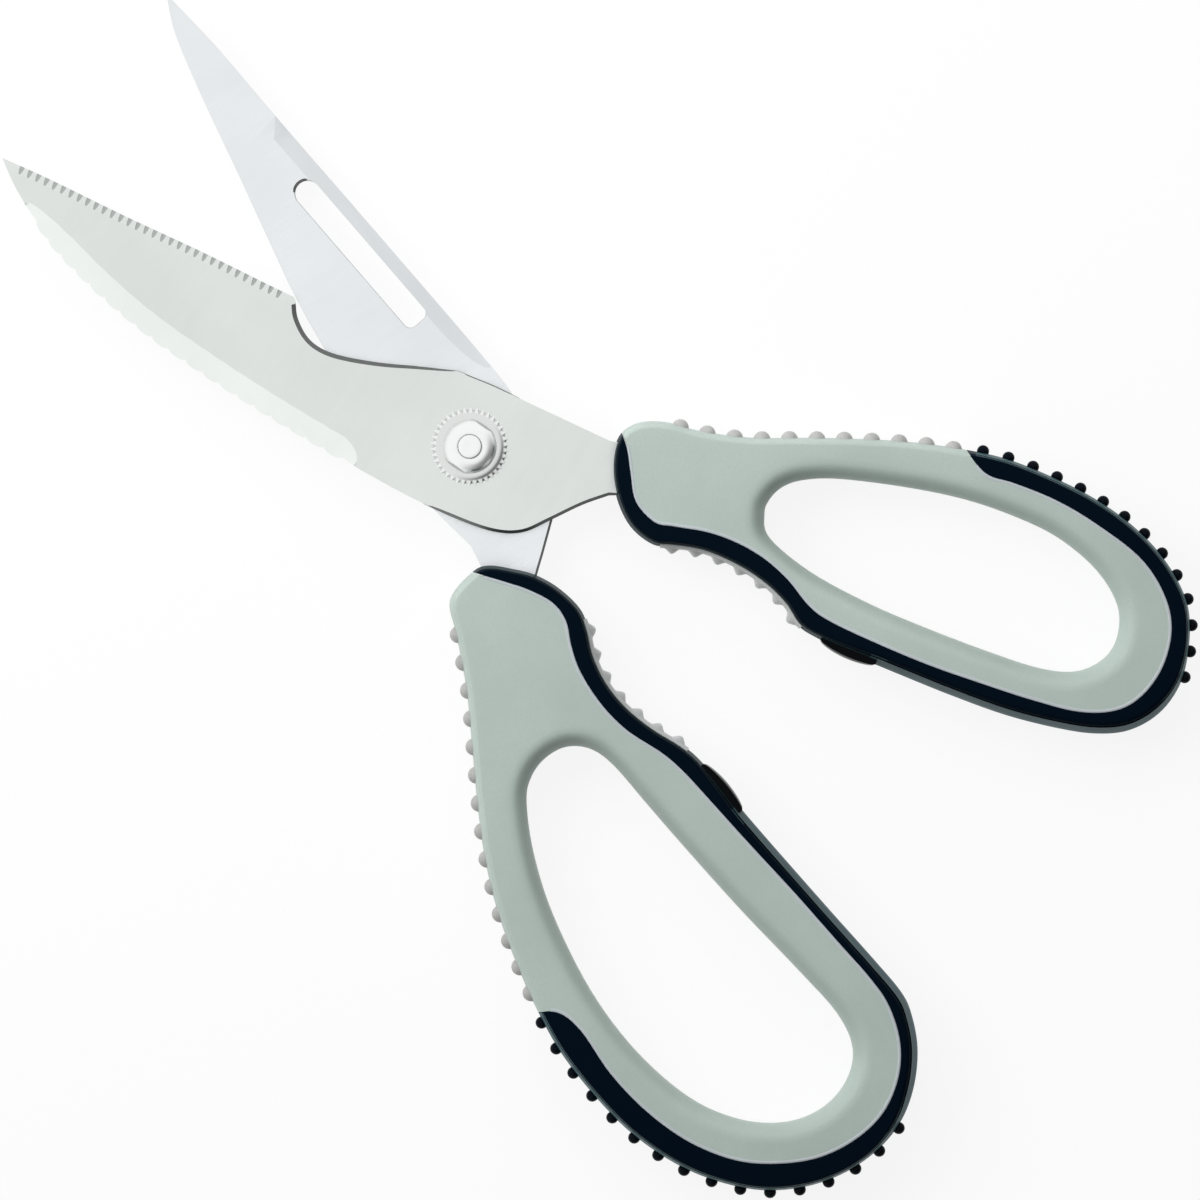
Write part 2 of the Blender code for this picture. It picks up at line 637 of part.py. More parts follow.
def seated_piece(name, line, root, thickness, carrier, group, cutters, frame, finish):
    """A piece between an outer line and a root below the outline, in a pocket of its carrier."""
    low = HANDLE_MIDDLE - thickness / 2
    high = HANDLE_MIDDLE + thickness / 2
    outline = line + root[::-1]
    plate(name, [outline], low, high, group, frame, finish)
    grown = offset_line(outline, CLEARANCE, closed=True)
    pocket = plate(name + "_pocket", [grown], low - CLEARANCE, high + CLEARANCE, cutters, frame)
    combine(carrier, "DIFFERENCE", pocket)


def handle(side, shape, group, cutters, frame, finishes):
    """One loop handle: the grey core, the dark band round it, the jaw's ribs and the stop pad."""
    outline = smooth_line(shape["outline"], closed=True)
    hole = smooth_line(shape["hole"], closed=True)
    band_line = smooth_line(shape["band"])
    low = HANDLE_MIDDLE - HANDLE_THICKNESS / 2
    high = HANDLE_MIDDLE + HANDLE_THICKNESS / 2
    core, grip = (
        plate(
            f"{side}_handle_{kind}", [outline, hole], low, high, group, frame, finishes[kind],
            HANDLE_ROUNDING,
        )
        for kind in ("core", "grip")
    )
    beyond_core = band_region(f"{side}_beyond_core", outline, band_line, -CLEARANCE, cutters, frame)
    band = band_region(f"{side}_band", outline, band_line, 0.0, cutters, frame)
    combine(core, "DIFFERENCE", beyond_core)
    combine(grip, "INTERSECT", band)

    grey_line = stretch(outline, shape["grey_nub_span"])
    dark_line = stretch(outline, shape["dark_nub_span"])
    grey_nubs = nub_row(f"{side}_grey_nubs", grey_line, shape["grey_nubs"], cutters, frame)
    dark_nubs = nub_row(f"{side}_dark_nubs", dark_line, shape["dark_nubs"], cutters, frame)
    combine(core, "UNION", grey_nubs)
    combine(grip, "UNION", dark_nubs)

    jaw_line = stretch(outline, shape["jaw_span"])
    seated_piece(
        f"{side}_jaw_ribs",
        humps(jaw_line, JAW_RIBS, JAW_RIB_STEPS, JAW_REACH - JAW_RIB_HEIGHT, JAW_REACH),
        offset_line(jaw_line, -JAW_ROOT), JAW_THICKNESS, grip, group, cutters, frame,
        finishes["ribs"],
    )
    stop_line = stretch(outline, shape["stop_span"])
    seated_piece(
        f"{side}_stop_pad", humps(stop_line, 1, STOP_PAD_STEPS, 0.0, STOP_PAD_REACH),
        offset_line(stop_line, -STOP_PAD_ROOT), STOP_PAD_THICKNESS, grip, group, cutters, frame,
        finishes["pad"],
    )

    tang_pocket = plate(
        f"{side}_tang_pocket", [offset_line(shape["tang"], CLEARANCE, closed=True)],
        shape["blade_bottom"] - CLEARANCE, shape["blade_bottom"] + BLADE_THICKNESS + CLEARANCE,
        cutters, frame,
    )
    combine(core, "DIFFERENCE", tang_pocket)
    combine(grip, "DIFFERENCE", tang_pocket)


FRONT_HANDLE = {
    "outline": FRONT_OUTLINE,
    "hole": FRONT_HOLE,
    "band": FRONT_BAND_LINE,
    "grey_nub_span": FRONT_GREY_NUB_SPAN,
    "grey_nubs": FRONT_GREY_NUBS,
    "dark_nub_span": FRONT_DARK_NUB_SPAN,
    "dark_nubs": FRONT_DARK_NUBS,
    "jaw_span": FRONT_JAW_SPAN,
    "stop_span": FRONT_STOP_SPAN,
    "tang": front_tang(),
    "blade_bottom": FRONT_BLADE_BOTTOM,
}
REAR_HANDLE = {
    "outline": REAR_OUTLINE,
    "hole": REAR_HOLE,
    "band": REAR_BAND_LINE,
    "grey_nub_span": REAR_GREY_NUB_SPAN,
    "grey_nubs": REAR_GREY_NUBS,
    "dark_nub_span": REAR_DARK_NUB_SPAN,
    "dark_nubs": REAR_DARK_NUBS,
    "jaw_span": REAR_JAW_SPAN,
    "stop_span": REAR_STOP_SPAN,
    "tang": rear_tang(),
    "blade_bottom": REAR_BLADE_BOTTOM,
}


def half_frame(name, turn, group):
    """An empty on the pivot's axis that carries one half at its share of the resting opening."""
    frame = bpy.data.objects.new(name, None)
    frame.rotation_euler.z = math.radians(turn)
    group.objects.link(frame)
    return frame


def main():
    clear_scene()
    pieces = new_collection("fish_and_game_shears")
    cutters = new_collection("cutters", hidden=True)
    front = half_frame("front_half", REST_OPENING / 2, pieces)
    rear = half_frame("rear_half", -REST_OPENING / 2, pieces)
    pivot = half_frame("pivot", 0.0, pieces)

    satin = material("satin_steel", (0.70, 0.72, 0.71), 0.34, 1.0)
    bright_satin = material("bright_satin_steel", (0.76, 0.78, 0.79), 0.30, 1.0)
    polished = material("polished_steel", (0.82, 0.83, 0.83), 0.18, 1.0)
    finishes = {
        "core": material("grey_green_plastic", (0.46, 0.55, 0.50), 0.55, 0.0),
        "grip": material("dark_soft_rubber", (0.006, 0.012, 0.020), 0.50, 0.0),
        "ribs": material("light_grey_plastic", (0.56, 0.57, 0.55), 0.50, 0.0),
        "pad": material("black_bumper_rubber", (0.005, 0.008, 0.012), 0.35, 0.0),
    }

    front_blade(pieces, cutters, front, satin)
    rear_blade(pieces, cutters, rear, bright_satin)
    pivot_bolt(pieces, pivot, polished)
    tension_washer(pieces, pivot, polished)
    tooth_lock_washer(pieces, pivot, polished)
    pivot_nut(pieces, cutters, pivot, polished)
    handle("front", FRONT_HANDLE, pieces, cutters, front, finishes)
    handle("rear", REAR_HANDLE, pieces, cutters, rear, finishes)


main()
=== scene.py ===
"""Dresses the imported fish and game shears: ground steel blades, moulded handles, and a studio stage.

Each half is drawn in its own flat frame, in millimetres, as it lies with the shears closed: the
origin is the pivot's axis, +Y runs to the tips and +X to the right. It is then turned about the
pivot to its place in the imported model, whose frame is in metres.
"""

from bisect import bisect_left
from math import atan, atan2, copysign, cos, pi, radians, sin, sqrt

import bmesh
import bpy
from mathutils import Matrix, Vector


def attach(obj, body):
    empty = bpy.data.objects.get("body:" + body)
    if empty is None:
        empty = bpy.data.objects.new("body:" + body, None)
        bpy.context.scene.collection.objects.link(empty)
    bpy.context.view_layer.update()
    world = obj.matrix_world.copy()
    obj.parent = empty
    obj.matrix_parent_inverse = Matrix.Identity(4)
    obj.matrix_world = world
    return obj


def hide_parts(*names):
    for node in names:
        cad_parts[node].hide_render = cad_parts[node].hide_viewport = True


bl_info = {
    "name": "Fish and Game Shears",
    "version": (1, 0, 0),
    "blender": (4, 5, 0),
    "location": "3D View > Sidebar > Shears",
    "description": "Builds the looks of a pair of fish and game shears on their packed model",
    "category": "Object",
}

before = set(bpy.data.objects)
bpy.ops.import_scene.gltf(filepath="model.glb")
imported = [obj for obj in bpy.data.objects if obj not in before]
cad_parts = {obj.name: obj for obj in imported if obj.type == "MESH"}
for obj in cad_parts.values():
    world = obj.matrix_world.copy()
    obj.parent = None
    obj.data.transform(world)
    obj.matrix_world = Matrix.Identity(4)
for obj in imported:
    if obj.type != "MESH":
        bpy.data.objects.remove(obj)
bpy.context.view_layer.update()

MM = 0.001

# Each half's share of the resting opening, in degrees about the pivot
FRONT_TURN = 12.2
REAR_TURN = -12.2

# Heights of the faces above the flat of the bolt's head, in millimetres
BOLT_HEAD_TOP = 1.7
TENSION_WASHER_TOP = 2.77
REAR_BOTTOM = 2.8
REAR_TOP = 5.3
FRONT_BOTTOM = 5.6
FRONT_TOP = 8.1
LOCK_WASHER_TOP = 8.9
NUT_TOP = 12.0
BOLT_END = 12.69
HANDLE_MIDDLE = 5.45

# Front blade, clockwise from the tip
FRONT_TIP = (0.0, 97.8)
FRONT_EDGE = [FRONT_TIP, (1.2, 88.6), (2.7, 73.5), (4.4, 59.2), (5.6, 46.5), (6.2, 40.6)]
FRONT_NOTCH = [
    (5.6, 39.9), (3.4, 38.1), (1.5, 35.0), (1.0, 31.8), (1.8, 27.8), (4.3, 21.5), (7.4, 15.2), (10.4, 8.8),
]
FRONT_SHOULDER = [(10.7, 7.0), (11.6, 1.4), (12.1, -4.0), (12.9, -11.0), (14.0, -20.6)]
FRONT_TANG = [(17.5, -31.0), (20.6, -39.0), (20.4, -44.5), (16.4, -44.5), (14.2, -40.0), (9.8, -32.0)]
FRONT_BELLY = [
    (5.6, -25.6), (1.6, -22.4), (-3.7, -19.0), (-8.0, -16.0), (-10.6, -11.6), (-12.2, -4.6), (-13.3, 5.0),
    (-13.8, 14.6),
]
FRONT_SCALER = [
    (-14.2, 18.4), (-14.4, 28.0), (-14.4, 38.0), (-14.1, 48.5), (-13.4, 60.0), (-11.7, 71.0), (-9.4, 80.5),
    (-7.0, 86.8),
]
FRONT_BACK_TIP = [(-4.8, 90.2), (-2.8, 93.8), FRONT_TIP]

# Rear blade, clockwise from the tip, and its slot
REAR_TIP = (0.1, 97.0)
REAR_SPINE = [
    REAR_TIP, (1.0, 92.0), (2.4, 83.3), (4.1, 68.3), (6.6, 48.2), (9.0, 28.5), (10.7, 14.0), (11.5, 4.0),
    (10.5, -3.5), (8.1, -10.4), (5.4, -18.6),
]
REAR_TANG = [
    (1.0, -22.4), (-4.6, -27.4), (-9.0, -34.0), (-12.2, -40.5), (-15.0, -46.5), (-19.2, -46.5),
    (-17.2, -38.5), (-13.2, -27.0), (-10.2, -18.6),
]
REAR_NECK = [(-9.7, -14.8), (-10.8, -9.6)]
REAR_EDGE = [
    (-11.9, -4.0), (-12.8, 6.0), (-12.5, 18.0), (-11.7, 30.0), (-10.9, 39.5), (-9.3, 49.9), (-7.2, 63.0),
    (-4.7, 79.2), (-2.5, 90.4), REAR_TIP,
]
SLOT_LENGTH = 32.6
SLOT_WIDTH = 4.5
SLOT_CORNER = 1.3
SLOT_CENTRE = (2.9, 39.6)
SLOT_LEAN = 6.9

# Handle outlines, finger holes, and the lines that part the dark band from the grey core
FRONT_OUTLINE = [
    (15.5, -21.6), (19.3, -23.2), (22.0, -27.2), (23.8, -33.0), (27.3, -41.0), (32.4, -49.4),
    (36.8, -56.8), (41.1, -64.6), (44.8, -72.6), (48.2, -81.8), (49.9, -91.0), (50.6, -99.5),
    (50.1, -107.4), (48.4, -114.4), (45.4, -120.6), (41.8, -124.7), (36.1, -128.0), (30.2, -129.8),
    (24.1, -129.3), (18.8, -126.4), (15.1, -121.6), (12.2, -114.9), (9.4, -105.9), (7.3, -95.8),
    (5.7, -86.4), (4.3, -77.5), (3.5, -70.6), (3.6, -66.5), (5.5, -62.3), (6.6, -57.4), (6.8, -51.8),
    (5.9, -45.4), (3.9, -40.3), (2.3, -36.8), (2.9, -31.8), (5.9, -27.1), (10.5, -23.3),
]
FRONT_HOLE = [
    (17.2, -51.0), (19.8, -50.3), (23.1, -51.1), (26.2, -53.7), (29.8, -59.2), (34.8, -70.2),
    (38.4, -80.2), (40.5, -89.8), (41.2, -98.0), (39.9, -106.4), (36.6, -112.8), (32.0, -115.7),
    (27.3, -115.8), (22.8, -112.9), (19.8, -107.1), (17.5, -97.8), (15.3, -86.4), (13.6, -75.2),
    (12.9, -63.4), (14.2, -54.0),
]
FRONT_BAND_LINE = [
    (46.6, -74.4), (44.9, -77.7), (44.1, -81.2), (45.3, -85.8), (46.6, -93.5), (46.8, -101.6),
    (45.8, -111.6), (42.6, -118.6), (38.0, -123.1), (31.5, -125.3), (25.1, -124.9), (20.3, -122.2),
    (16.7, -116.7), (14.2, -108.8), (12.0, -99.8), (9.8, -89.8), (8.2, -79.8), (7.2, -71.0),
    (7.5, -66.3), (9.5, -60.6), (10.5, -55.2), (10.4, -49.7), (9.3, -44.2), (7.0, -38.4), (5.8, -35.0),
    (7.2, -30.2), (11.1, -26.7), (14.4, -23.9), (17.4, -20.4),
]
REAR_OUTLINE = [
    (-12.4, -18.8), (-9.2, -19.3), (-5.7, -22.4), (-3.0, -25.5), (-0.9, -29.7), (0.2, -34.8),
    (-0.6, -38.8), (-2.3, -43.4), (-3.0, -48.6), (-2.5, -53.9), (-0.8, -59.5), (1.4, -64.3),
    (2.7, -68.2), (3.4, -73.4), (4.4, -82.7), (5.7, -93.0), (7.3, -105.1), (8.8, -115.9), (9.6, -123.4),
    (8.9, -127.7), (6.5, -133.2), (2.3, -138.4), (-3.0, -142.3), (-9.2, -144.3), (-16.4, -144.5),
    (-23.7, -142.7), (-30.7, -138.8), (-36.5, -132.9), (-40.9, -126.1), (-44.2, -117.7),
    (-45.9, -109.1), (-46.7, -99.6), (-46.2, -91.6), (-44.7, -82.3), (-42.2, -71.9), (-38.7, -62.4),
    (-34.3, -53.4), (-29.5, -44.6), (-24.7, -35.7), (-20.8, -26.8), (-18.2, -20.7),
]
REAR_HOLE = [
    (-27.0, -58.3), (-23.9, -55.0), (-19.9, -53.5), (-15.6, -53.9), (-12.2, -56.6), (-10.4, -61.4),
    (-9.3, -70.5), (-7.9, -81.7), (-5.9, -95.7), (-3.4, -110.1), (-2.0, -120.2), (-3.2, -126.9),
    (-7.4, -131.0), (-13.6, -132.6), (-20.3, -131.1), (-26.8, -126.2), (-32.1, -118.0),
    (-35.4, -105.8), (-36.1, -92.4), (-34.2, -77.6), (-31.0, -66.6),
]
REAR_BAND_LINE = [
    (-13.6, -17.0), (-11.4, -19.6), (-8.4, -23.2), (-5.4, -27.1), (-3.2, -31.4), (-3.1, -35.4),
    (-4.8, -39.6), (-6.0, -44.4), (-6.1, -51.0), (-4.9, -57.4), (-2.0, -64.2), (-0.6, -69.4),
    (0.4, -76.0), (1.9, -86.4), (3.7, -98.0), (5.2, -109.3), (6.4, -118.2), (6.4, -124.2),
    (4.4, -130.6), (0.6, -135.6), (-5.0, -139.2), (-11.6, -140.4), (-18.8, -139.5), (-25.6, -136.3),
    (-31.6, -131.5), (-36.6, -124.2), (-39.8, -115.6), (-41.4, -106.4), (-41.5, -97.2),
    (-43.2, -92.1), (-47.6, -89.6),
]

# One record for each handle: its lines, its turn, and the first and last places of its rows of nubs, with
# their number, of its pads, its plain sides and the stretch of its side with a painted sheen
FRONT = {
    "side": "front",
    "body": "front_half",
    "turn": FRONT_TURN,
    "outline": FRONT_OUTLINE,
    "hole": FRONT_HOLE,
    "band": FRONT_BAND_LINE,
    "grey_nubs": ((22.8, -30.0), (45.2, -73.3), 11),
    "dark_nubs": ((47.4, -78.1), (32.0, -130.0), 14),
    "jaw": ((2.9, -66.8), (2.7, -38.1)),
    "stop": ((4.9, -81.7), (3.4, -71.1)),
    "plain": ((24.0, -129.3), (4.9, -81.7)),
    "painted_sheen_run": ((47.4, -78.1), (4.9, -81.7)),
}
REAR = {
    "side": "rear",
    "body": "rear_half",
    "turn": REAR_TURN,
    "outline": REAR_OUTLINE,
    "hole": REAR_HOLE,
    "band": REAR_BAND_LINE,
    "grey_nubs": ((-45.4, -86.7), (-20.9, -26.4), 14),
    "dark_nubs": ((-4.3, -143.2), (-46.6, -92.2), 16),
    "jaw": ((0.3, -37.0), (2.4, -66.3)),
    "stop": ((2.9, -70.0), (4.1, -80.7)),
    "plain": ((4.1, -80.7), (1.0, -139.5)),
    "painted_sheen_run": ((4.1, -80.7), (-46.6, -92.2)),
}

# Radius of the bores round the bolt, and half the handles' thickness
BORE = 2.35
HANDLE_HALF = 7.0

# Steps between two points of a curve, and the least turn in degrees that shows as an edge
CURVE_STEPS = 6
SHARP_TURN = 32.0

# How far cutters reach past what they cut and bevels past their edge, and what counts as the same place
OVERSHOOT = 2.0
RUN_OUT = 0.7
SAME_PLACE = 0.0005

# The handles' other sides lean by a share of the band's plain sides, and change over a run
PLAIN_LEAN = 0.5
LEAN_RUN = 12.0


# Sizes and colours that a user would change


def length_setting(name, description, default, least, most):
    """A length, whose values are given in millimetres."""
    return bpy.props.FloatProperty(
        name=name, description=description, default=default * MM, min=least * MM, max=most * MM,
        subtype="DISTANCE", unit="LENGTH",
    )


def colour_setting(name, description, *default):
    return bpy.props.FloatVectorProperty(
        name=name, description=description, default=default, min=0.0, max=1.0, subtype="COLOR",
    )


def power_setting(name, description, default):
    return bpy.props.FloatProperty(
        name=name, description=description, default=default, min=0.0, max=100.0, unit="POWER",
    )


class ShearsSizes(bpy.types.PropertyGroup):
    side_draft: length_setting("Side draft", "How far the handles' sides lean out", 1.1, 0.2, 2.0)
    side_round: length_setting("Side rounding", "Rounding of the handles' edges", 1.0, 0.4, 2.4)
    hole_lip: length_setting("Hole lip", "Width of the rounding round each finger hole", 3.6, 1.0, 4.5)
    band_step: length_setting("Band step", "How far the soft band stands proud of the core", 0.12, 0.0, 0.5)
    nub_radius: length_setting("Nub radius", "Radius of the round grip nubs", 1.1, 0.8, 1.35)
    groove_depth: length_setting("Serration depth", "Depth of the cutting edge's grooves", 0.4, 0.1, 0.42)
    slot_chamfer: length_setting("Slot chamfer", "Width of the broken edge round the slot", 0.14, 0.1, 0.6)


class ShearsColours(bpy.types.PropertyGroup):
    core: colour_setting("Core", "Grey-green plastic of the handles", 0.466, 0.552, 0.510)
    band: colour_setting("Band", "Dark soft rubber round the handles", 0.0014, 0.0052, 0.0112)
    # The rim colour is a painted sheen on the band's steep sides
    rim: colour_setting("Rim", "Teal sheen of the band's side", 0.042, 0.080, 0.092)
    nubs: colour_setting("Grey nubs", "Paler grey of the cores' grip nubs", 0.44, 0.44, 0.43)
    # The bead's paler colour is a painted highlight along the join of core and band
    painted_highlight_bead: colour_setting("Mould flash", "Pale bead where core and band meet", 0.52, 0.565, 0.59)
    ribs: colour_setting("Jaw ribs", "Light grey plastic of the gripping jaws", 0.56, 0.58, 0.57)
    pads: colour_setting("Stop pads", "Black rubber of the bumpers", 0.0006, 0.001, 0.002)
    front_steel: colour_setting("Front steel", "Satin steel of the front blade", 0.775, 0.81, 0.79)
    rear_steel: colour_setting("Rear steel", "Satin steel of the rear blade", 0.85, 0.875, 0.893)
    hardware: colour_setting("Pivot steel", "Polished steel of the pivot", 0.955, 0.975, 0.963)


class ShearsStage(bpy.types.PropertyGroup):
    backdrop: colour_setting("Backdrop", "Colour of the floor and the studio round it", 1.0, 1.0, 1.0)
    shadow_share: bpy.props.FloatProperty(
        name="Shadow share", description="How much of the floor's look takes the object's shadow",
        default=0.12, min=0.0, max=1.0, subtype="FACTOR",
    )
    room_light: bpy.props.FloatProperty(
        name="Room light", description="Strength of the soft light from all round",
        default=0.32, min=0.0, max=2.0,
    )
    side_power: power_setting("Side lamp power", "Power of the lamp beside the blades", 2.2)
    near_power: power_setting("Near lamp power", "Power of the nearer lamp beyond the upper handle", 0.82)
    lamp_size: length_setting("Lamp size", "Side of each soft lamp", 400.0, 50.0, 3000.0)
    camera_height: length_setting("Camera height", "Height above the handles", 3000.0, 500.0, 6000.0)
    picture_width: length_setting("Picture width", "Width of what the camera takes in", 213.6, 50.0, 1000.0)


# Flat lines. They are lists of vectors in metres, and the left of an outline is its outside


def smooth_line(points, closed=False):
    """A Catmull-Rom curve through points given in millimetres."""
    points = [Vector(p) * MM for p in points]
    if closed:
        ahead = [points[-1]] + points + points[:2]
    else:
        ahead = [2 * points[0] - points[1]] + points + [2 * points[-1] - points[-2]]
    line = []
    for i in range(len(ahead) - 3):
        before, start, end, after = ahead[i : i + 4]
        for step in range(CURVE_STEPS):
            t = step / CURVE_STEPS
            bend = (2 * before - 5 * start + 4 * end - after) * t**2
            twist = (3 * start - before - 3 * end + after) * t**3
            line.append((2 * start + (end - before) * t + bend + twist) / 2)
    if not closed:
        line.append(points[-1])
    return line


def smooth_lines(*parts):
    """One line from several, with a corner wherever two meet."""
    return [place for points in parts for place in smooth_line(points)]


def outline_of(handle):
    return smooth_line(handle["outline"], closed=True)


def left_of(direction):
    return Vector((-direction.y, direction.x)).normalized()


def outward_at(line, i, closed=False):
    """The direction to the left of a line at one of its points."""
    before = line[i - 1] if closed else line[max(i - 1, 0)]
    after = line[(i + 1) % len(line)] if closed else line[min(i + 1, len(line) - 1)]
    return left_of(after - before)


def moved_line(line, distance, closed=False, shares=None):
    """The line moved to its left, where each point may take its own share of the distance."""
    return [
        place + outward_at(line, i, closed) * distance * (shares[i] if shares else 1.0)
        for i, place in enumerate(line)
    ]


def nearest_on(line, place):
    """The place's nearest point on a line taken as closed, after the number of its run."""
    found = []
    for i, start in enumerate(line):
        run = line[(i + 1) % len(line)] - start
        share = min(1.0, max(0.0, (place - start).dot(run) / run.length_squared))
        point = start + run * share
        found.append(((point - place).length, i, point))
    return min(found, key=lambda item: item[0])[1:]


def gap_to(line, place):
    return (nearest_on(line, place)[1] - place).length


def stretch(line, first_place, last_place):
    """The run of a closed line from its point nearest one place on to that nearest another."""
    first, start = nearest_on(line, Vector(first_place) * MM)
    last, end = nearest_on(line, Vector(last_place) * MM)
    between = [line[(first + 1 + i) % len(line)] for i in range((last - first) % len(line))]
    found = [start]
    for place in between + [end]:
        if (place - found[-1]).length > SAME_PLACE * MM:
            found.append(place)
    return found


def lengths_along(line):
    """How far along an open line each of its points lies."""
    found = [0.0]
    for start, end in zip(line, line[1:]):
        found.append(found[-1] + (end - start).length)
    return found


def spaced(line, count):
    """Places at even steps along a line, each with the direction to its left."""
    lengths = lengths_along(line)
    found = []
    for i in range(count):
        wanted = lengths[-1] * i / (count - 1)
        k = min(max(bisect_left(lengths, wanted), 1), len(line) - 1)
        share = (wanted - lengths[k - 1]) / (lengths[k] - lengths[k - 1])
        found.append((line[k - 1].lerp(line[k], share), left_of(line[k] - line[k - 1])))
    return found


def shortened(line, start, end):
    """An open line less a distance at each end, where a negative one adds to it."""
    for distance in (start, end):
        while distance > 0 and (line[1] - line[0]).length < distance:
            distance -= (line[1] - line[0]).length
            line = line[1:]
        line = [line[0] + (line[1] - line[0]).normalized() * distance] + line[1:]
        line = line[::-1]
    return line


def waves(line, count, steps, low, high, rise):
    """A line that goes from a low to a high distance to its left and back, by the rise along each wave."""
    return [
        place + outward * (low + (high - low) * rise(i % steps / steps))
        for i, (place, outward) in enumerate(spaced(line, count * steps + 1))
    ]


def hump(share):
    return sqrt(sin(pi * share))


def rib(share):
    """A rounded peak over two thirds of its wave, with a flat on both sides."""
    return cos(pi / 2 * min(1.0, abs(2 * share - 1) / 0.66)) ** 1.4


def faded(line, width, start=0.0, end=0.0):
    """A width for each point of an open line, which rounds off to nothing over a run at each end."""
    lengths = lengths_along(line)
    found = []
    for gone in lengths:
        to_start = max(0.0, 1.0 - gone / start) if start else 0.0
        to_end = max(0.0, 1.0 - (lengths[-1] - gone) / end) if end else 0.0
        found.append(width * sqrt((1.0 - to_start**2) * (1.0 - to_end**2)))
    return found


def circle(radius, sides=48):
    turns = [2 * pi * i / sides for i in range(sides)]
    return [Vector((cos(a), sin(a))) * radius for a in turns]


# Shapes. Each function gives a bmesh in its half's own frame, in metres


def lipped(width, half, steps=8):
    """A side with a round lip, from the lower face up: how far it lies in from the line, by height."""
    found = []
    for k in range(-steps, steps + 1):
        angle = pi / 2 * abs(k) / steps
        across = 1 - max(0.0, cos(angle)) ** 0.8
        up = copysign(sin(angle) ** 0.8, k) if k else 0.0
        found.append((width * across, half * up))
    return found


def drafted(draft, rounding, half, groove=0.0, crown=0.06 * MM, crown_run=0.7 * MM, steps=6):
    """A side that leans in by a draft to a rounding and a low crown, perhaps with a groove between."""
    level = half - rounding
    upper = [(draft * share, level * share) for share in (0.33, 0.67)]
    if groove:
        upper += [(draft, level), (draft + 0.05 * MM, level + 0.05 * MM), (draft + groove, level - groove)]
        draft += 1.2 * groove
    for k in range(steps + 1):
        angle = pi / 2 * k / steps
        upper.append((draft + rounding * (1 - cos(angle)), half - rounding * (1 - sin(angle))))
    upper[-1] = (upper[-1][0], half - crown)
    upper.append((upper[-1][0] + crown_run, half))
    return [(inset, -height) for inset, height in reversed(upper)] + [(0.0, 0.0)] + upper


def side_rings(line, way, profile, middle=0.0, shares=None):
    """The line at each step of a side's profile, with its height."""
    return [
        (moved_line(line, way * inset, True, shares) if inset else line, middle + z) for inset, z in profile
    ]


def lean_shares(line, first_place, last_place, narrow, run):
    """1 between two places of a closed line, fading over a run on both sides to a narrow share."""
    wide = stretch(line, first_place, last_place)
    return [max(narrow, 1.0 - (1.0 - narrow) * gap_to(wide, place) / run) for place in line]


def join_rings(made, rings):
    """Joins rings of places by bands of faces, and gives the rings' corners and the faces."""
    corners = [[made.verts.new(place) for place in ring] for ring in rings]
    faces = []
    for low, high in zip(corners, corners[1:]):
        for i in range(len(low)):
            j = (i + 1) % len(low)
            faces.append(made.faces.new((low[i], low[j], high[j], high[i])))
    return corners, faces


def from_loops(loops):
    """A solid between flat faces, from the rings of its outline and of any holes."""
    made = bmesh.new()
    rims = ([], [])
    for levels in loops:
        rings = [[(*place, height) for place in line] for line, height in levels]
        rings = join_rings(made, rings)[0]
        for rim, ring in zip(rims, (rings[0], rings[-1])):
            rim += [made.edges.get((ring[i - 1], ring[i])) for i in range(len(ring))]
    for rim in rims:
        bmesh.ops.triangle_fill(made, edges=rim, use_beauty=True)
    bmesh.ops.recalc_face_normals(made, faces=made.faces)
    return made


def turned(profile, sides=64, reach=None):
    """A turned shape about the pivot's axis, from (radius, height) in millimetres down its outside.

    The reach gives the most a radius may be at an angle and height, where a side is cut flat or toothed.
    """
    made = bmesh.new()
    rings = []
    for radius, height in profile:
        ring = []
        for i in range(sides):
            angle = 2 * pi * i / sides
            across = min(radius, reach(angle, height)) if reach else radius
            ring.append(Vector((across * cos(angle), across * sin(angle), height)) * MM)
        rings.append(ring)
    join_rings(made, rings)
    bmesh.ops.remove_doubles(made, verts=made.verts, dist=SAME_PLACE * MM)
    bmesh.ops.recalc_face_normals(made, faces=made.faces)
    return made


def wedge(line, widths, face, slope):
    """What a grinding wheel takes off along an edge, to a width at each point and at one slope.

    A slope above 0 falls from an upper face, and one below 0 rises from a lower face.
    """
    away = face + copysign(OVERSHOOT * MM, slope)
    first = -1.0 * MM
    rings = []
    for i, (place, width) in enumerate(zip(line, widths)):
        last = width + OVERSHOOT * MM
        corners = ((first, face - slope * first), (last, face - slope * last), (last, away), (first, away))
        outward = outward_at(line, i)
        rings.append([(*(place + outward * (distance - width)), height) for distance, height in corners])
    made = bmesh.new()
    ends = join_rings(made, rings)[0]
    made.faces.new(ends[0])
    made.faces.new(ends[-1])
    bmesh.ops.recalc_face_normals(made, faces=made.faces)
    return made


def seat_at(place, outward, height):
    turn = Matrix.Rotation(atan2(outward.y, outward.x), 4, "Z")
    return Matrix.Translation((*place, height)) @ turn


def new_object(name, data):
    found = bpy.data.objects.new(name, data)
    bpy.context.scene.collection.objects.link(found)
    return found


def mesh_object(name, shape):
    mesh = bpy.data.meshes.new(name)
    shape.to_mesh(mesh)
    shape.free()
    return new_object(name, mesh)


